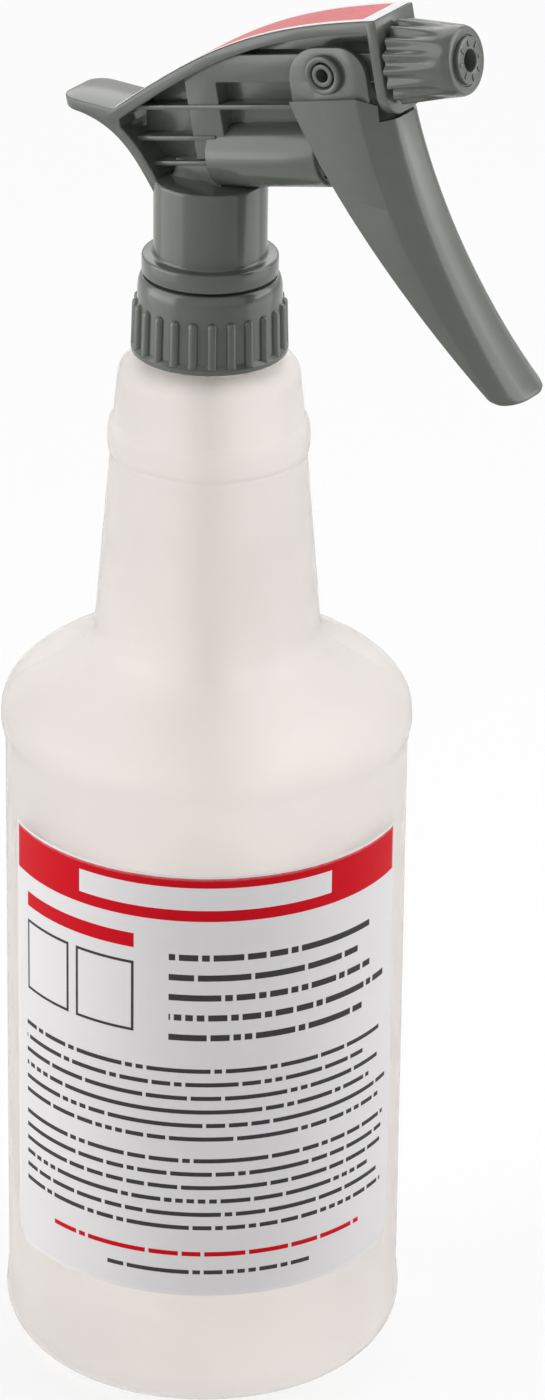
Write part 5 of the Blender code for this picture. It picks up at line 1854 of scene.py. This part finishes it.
    def ears(self) -> Shape:
        """Two ears round the pivot with a ring-shaped boss on each.

        Returns:
            Both ears.
        """
        low, top = self.ear_v
        rear, front = self.ear_u
        rear_round, front_round = self.ear_corners
        outline = [(rear, low), (front - self.ear_taper, low), (front, low + 2 * self.ear_taper)]
        for x, radius, start in (
            (front - front_round, front_round, 0.0), (rear + rear_round, rear_round, QUARTER)
        ):
            outline += arc((x, top - radius), radius, start, start + QUARTER, steps=12)
        hole = arc((0.0, 0.0), self.hole_r, 0.0, FULL_TURN, steps=32)[:-1]
        base = self.ear_y[1] - self.boss_lap
        out = self.ear_y[1] + self.boss_rise
        lip_r, lip = self.boss_lip
        ring = eased([
            (self.hole_r, base), (self.boss_r + self.boss_draft, base), (self.boss_r, out),
            (self.hole_r + lip_r, out), (self.hole_r, out - lip),
        ], self.boss_edge, steps=4, closed=True)
        boss = Shape().turned(ring, steps=56, closed=True)
        boss.moved(Matrix.Rotation(-QUARTER, 4, "X"))
        ear = Shape().slab(outline, *self.ear_y, holes=[hole]).round_edges(self.ear_edge)
        return ear.joined(boss).mirrored("Y")


@dataclass
class Nozzle:
    """The turning nozzle: a fluted cone with a raised disc on its face."""

    deck: Deck
    start_u: float = 0.0475
    length: float = 0.0147
    rear_r: float = 0.0089
    front_r: float = 0.0072
    bore_r: float = 0.0057
    bore_chamfer: float = 0.0003
    face_wall: float = 0.0037
    face_edge: float = 0.0003
    disc_r: float = 0.0049
    disc_rise: float = 0.0009
    groove: Point = (0.0004, 0.0003)
    hole_r: float = 0.0023
    hole_depth: float = 0.0032
    orifice_r: float = 0.0005
    flutes: int = 16
    flute_depth: float = 0.0013
    flute_end: float = 0.0118
    flute_steps: int = 12
    rim_round: float = 0.0008
    levels: int = 14
    ticks: int = 8
    tick_half: Point = (0.0007, 0.0003)
    tick_z: Point = (-0.0003, 0.00025)
    tick_edge: float = 0.00016

    def build(self, shop: Workshop) -> None:
        """Builds the nozzle and the marks on its disc.

        Args:
            shop: Where the pieces are made.
        """
        place = self.deck.along(self.start_u, 0.0)
        cone = self.cone().moved(place)
        shop.piece("nozzle_cone", cone, Body.NOZZLE, Slot.GREY, ["nozzle"], crease=45.0)
        shop.piece("nozzle_marks", self.marks().moved(place), Body.NOZZLE, Slot.GREY)

    def cone(self) -> Shape:
        """The spun cone, with its flutes pressed in and fading towards the face.

        Returns:
            The cone, from its rear end up.
        """
        disc = self.length + self.disc_rise
        floor = disc - self.hole_depth
        inner = self.length - self.face_wall
        groove_r, groove = self.disc_r + self.groove[0], self.length - self.groove[1]
        rim_r = self.front_r - self.rim_round
        face = eased([
            (self.orifice_r, inner), (self.orifice_r, floor), (self.hole_r, floor),
            (self.hole_r, disc), (self.disc_r, disc), (self.disc_r, groove), (groove_r, groove),
            (groove_r, self.length), (rim_r, self.length),
        ], self.face_edge)
        rim = (rim_r, self.length - self.rim_round)
        profile = face[:-1] + arc(rim, self.rim_round, QUARTER, 0.0, steps=5)
        for i in range(1, self.levels + 1):
            share = i / self.levels
            radius = self.front_r + (self.rear_r - self.front_r) * share
            profile.append((radius, self.length * (1 - share)))
        profile += [(self.bore_r + self.bore_chamfer, 0.0), (self.bore_r, self.bore_chamfer)]
        profile += [(self.bore_r, inner)]
        shape = Shape().turned(profile, self.flutes * self.flute_steps, closed=True)
        for vert in shape.bm.verts:
            radius = math.hypot(vert.co.x, vert.co.y)
            if radius < self.front_r or vert.co.z > self.flute_end:
                continue
            depth = self.flute_depth * (1 - vert.co.z / self.flute_end)
            wave = (1 - math.cos(self.flutes * math.atan2(vert.co.y, vert.co.x))) / 2
            shrink = 1 - depth * wave / radius
            vert.co.x *= shrink
            vert.co.y *= shrink
        return shape

    def marks(self) -> Shape:
        """Short raised bars round the disc that show the nozzle's settings.

        Returns:
            The ring of bars.
        """
        disc = self.length + self.disc_rise
        middle = (self.hole_r + self.disc_r) / 2
        (along, across), (low, high) = self.tick_half, self.tick_z
        shape = Shape().bar(
            (middle - along, -across, disc + low), (middle + along, across, disc + high)
        )
        return shape.round_edges(self.tick_edge, segments=3).copied_round(self.ticks)


@dataclass
class Spring:
    """A coil of round wire along u."""

    deck: Deck
    node: str
    joint: str
    start: Point
    length: float
    coil_r: float
    wire_r: float
    turns: int
    still_share: float
    travel: float
    steps: int = 36
    wire_sides: int = 12

    def build(self, shop: Workshop) -> None:
        """Builds the coil in the CAD spring's place.

        Args:
            shop: Where the piece is made.
        """
        place = self.deck.along(*self.start)
        centre = (self.coil_r, self.wire_r)
        section = arc(centre, self.wire_r, 0.0, FULL_TURN, self.wire_sides)[:-1]
        pitch = (self.length - 2 * self.wire_r) / self.turns
        shape = Shape().coil(section, self.steps, self.turns, pitch).moved(place)
        name = self.node + "_coil"
        made = shop.piece(name, shape, Body.SPRAYER, Slot.STEEL, [self.node], crease=60.0)
        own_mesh(made)


@dataclass
class Springs:
    """The pump's return spring, held at the pump's end wall, and the outlet valve's spring."""

    deck: Deck

    def build(self, shop: Workshop) -> None:
        """Builds both springs.

        Args:
            shop: Where the pieces are made.
        """
        Spring(
            self.deck, "return_spring", "piston_slide", start=(0.0007, self.deck.pump_v),
            length=0.0140, coil_r=0.0040, wire_r=0.00045, turns=6, still_share=0.0,
            travel=0.008076,
        ).build(shop)
        Spring(
            self.deck, "outlet_spring", "outlet_lift", start=(0.0402, 0.0),
            length=0.0095, coil_r=0.0015, wire_r=0.00022, turns=5, still_share=1.0,
            travel=0.0010,
        ).build(shop)


@dataclass(frozen=True)
class SoftBox:
    """A lamp's soft box, placed in degrees round the object and up. A level of 1 is white."""

    name: str
    azimuth: float
    elevation: float
    distance: float
    width: float
    height: float
    level: float
    glossy: bool = True

    def build(self, aim: Vector) -> None:
        """Adds the lamp.

        Args:
            aim: The spot that it faces.
        """
        data = bpy.data.lights.new(self.name, "AREA")
        data.shape = "RECTANGLE"
        data.size = self.width
        data.size_y = self.height
        data.energy = self.level * math.pi * self.width * self.height
        made = placed(self.name, data)
        turn, rise = math.radians(self.azimuth), math.radians(self.elevation)
        flat = math.cos(rise)
        way = Vector((flat * math.cos(turn), flat * math.sin(turn), math.sin(rise)))
        made.location = aim + self.distance * way
        made.rotation_euler = way.to_track_quat("Z", "Y").to_euler()
        made.visible_camera = False
        made.visible_transmission = False
        made.visible_glossy = self.glossy


@dataclass
class Studio:
    """Floor, soft light, white backdrop and the photograph's camera.

    Shares say how white the floor shows: to the camera by how far away it is, through the milky
    wall, and in gloss by its turn from the bright side.
    """

    camera_at: Place = (0.66037, -1.04865, 0.73375)
    camera_turn: Place = (64.9465, -0.6442, 31.8415)
    lens: float = 161.69
    sensor: float = 36.0
    clip_end: float = 50.0
    white: Colour = (1.0, 1.0, 1.0)
    pale: Colour = (0.90, 0.90, 0.90)
    bounce: Colour = (0.85, 0.85, 0.85)
    ambient: float = 0.03
    floor_r: float = 6.0
    floor_away: Point = (0.5, 1.6)
    floor_share: Point = (0.78, 1.0)
    wall_share: float = 0.93
    bright_side: float = math.radians(-150.0)
    gloss_turn: Point = (-0.2, 0.8)
    gloss_share: Point = (0.42, 1.0)
    aim: Place = (0.0, 0.0, 0.17)
    lamps: tuple[SoftBox, ...] = (
        SoftBox("back_top_box", 122.0, 50.0, 1.25, 1.3, 1.3, 1.8),
        SoftBox("left_box", -140.0, 18.0, 1.25, 1.25, 1.6, 2.3),
        SoftBox("right_box", 31.0, 35.0, 1.25, 1.05, 1.5, 2.4),
        SoftBox("left_low_box", -143.0, 2.0, 0.62, 0.72, 0.36, 1.0),
        SoftBox("right_low_box", 29.0, 2.0, 0.62, 0.62, 0.36, 1.0),
        SoftBox("front_fill", -58.0, 12.0, 1.6, 1.2, 0.8, 2.0, glossy=False),
    )

    def build(self) -> None:
        """Sets up everything that isn't part of the object."""
        self.floor()
        self.backdrop()
        for lamp in self.lamps:
            lamp.build(Vector(self.aim))
        self.camera()
        bpy.context.scene.view_settings.view_transform = "Standard"

    def floor(self) -> None:
        """A wide pale floor that keeps a soft shadow."""
        shape = Shape()
        bmesh.ops.create_circle(shape.bm, cap_ends=True, segments=64, radius=self.floor_r)
        mesh = shape.mesh("floor")
        mesh.materials.append(self.floor_finish())
        made = placed("floor", mesh)

    def floor_finish(self) -> Material:
        """The floor's material, part matte and part glowing white.

        Returns:
            The material.
        """
        material = bpy.data.materials.new("pale_floor")
        desk = NodeDesk(material)
        path = desk.add("LightPath").outputs
        tint = desk.blend(path["Is Camera Ray"], self.bounce, self.pale)
        matte = desk.add("BsdfDiffuse", {"Color": tint})
        glow = desk.add("Emission", {"Color": self.white, "Strength": 1.0})
        spot = desk.add("TexCoord").outputs["Object"]
        away = desk.add("VectorMath", {0: spot}, operation="LENGTH").outputs["Value"]
        way = desk.add("VectorMath", {0: spot}, operation="NORMALIZE").outputs["Vector"]
        bright = (math.cos(self.bright_side), math.sin(self.bright_side), 0.0)
        turn = desk.add("VectorMath", {0: way, 1: bright}, operation="DOT_PRODUCT").outputs["Value"]
        share = desk.both(
            path["Is Camera Ray"], desk.scaled(away, self.floor_away, self.floor_share)
        )
        for ray, level in (
            ("Is Transmission Ray", self.wall_share),
            ("Is Glossy Ray", desk.scaled(turn, self.gloss_turn, self.gloss_share)),
        ):
            share = desk.math("MAXIMUM", share, desk.both(path[ray], level))
        mixed = desk.add("MixShader", {0: share, 1: matte.outputs[0], 2: glow.outputs[0]})
        desk.add("OutputMaterial", {"Surface": mixed.outputs[0]})
        return material

    def backdrop(self) -> None:
        """A white world to look at, also in gloss and glass, and a plain ambient light from it."""
        world = bpy.data.worlds.new("studio_world")
        bpy.context.scene.world = world
        desk = NodeDesk(world)
        path = desk.add("LightPath").outputs
        seen = desk.math("MAXIMUM", path["Is Camera Ray"], path["Is Glossy Ray"])
        seen = desk.math("MAXIMUM", seen, path["Is Transmission Ray"])
        light, white = (
            desk.add("Background", {"Color": self.white, "Strength": level}).outputs[0]
            for level in (self.ambient, 1.0)
        )
        mixed = desk.add("MixShader", {0: seen, 1: light, 2: white})
        desk.add("OutputWorld", {"Surface": mixed.outputs[0]})

    def camera(self) -> None:
        """The camera that took the photograph, fitted to the object's outline."""
        data = bpy.data.cameras.new("photo_camera")
        data.sensor_fit = "VERTICAL"
        data.sensor_height = self.sensor
        data.lens = self.lens
        data.clip_end = self.clip_end
        made = placed("photo_camera", data)
        made.location = self.camera_at
        made.rotation_euler = [math.radians(a) for a in self.camera_turn]
        bpy.context.scene.camera = made


INNER_NODES: dict[str, Slot] = {
    "neck_gasket": Slot.FOAM,
    "tube_retainer": Slot.WHITE,
    "dip_tube": Slot.TUBE,
    "spinner": Slot.WHITE,
    "piston": Slot.WHITE,
    "piston_cup": Slot.RUBBER,
    "piston_wiper": Slot.RUBBER,
    "inlet_ball": Slot.STEEL,
    "outlet_ball": Slot.STEEL,
    "nozzle_oring": Slot.RUBBER,
}


def main() -> None:
    """Builds the studio, then each sub-assembly in order."""
    logging.basicConfig(level=logging.INFO, format="%(name)s %(message)s")
    Studio().build()
    shop = Workshop()
    deck = Deck()
    for assembly in (
        Bottle(), Closure(), SprayerHead(deck), Trigger(deck), Nozzle(deck), Springs(deck)
    ):
        assembly.build(shop)
    for node, slot in INNER_NODES.items():
        shop.dress_node(node, slot)


if __name__ == "__main__":
    main()
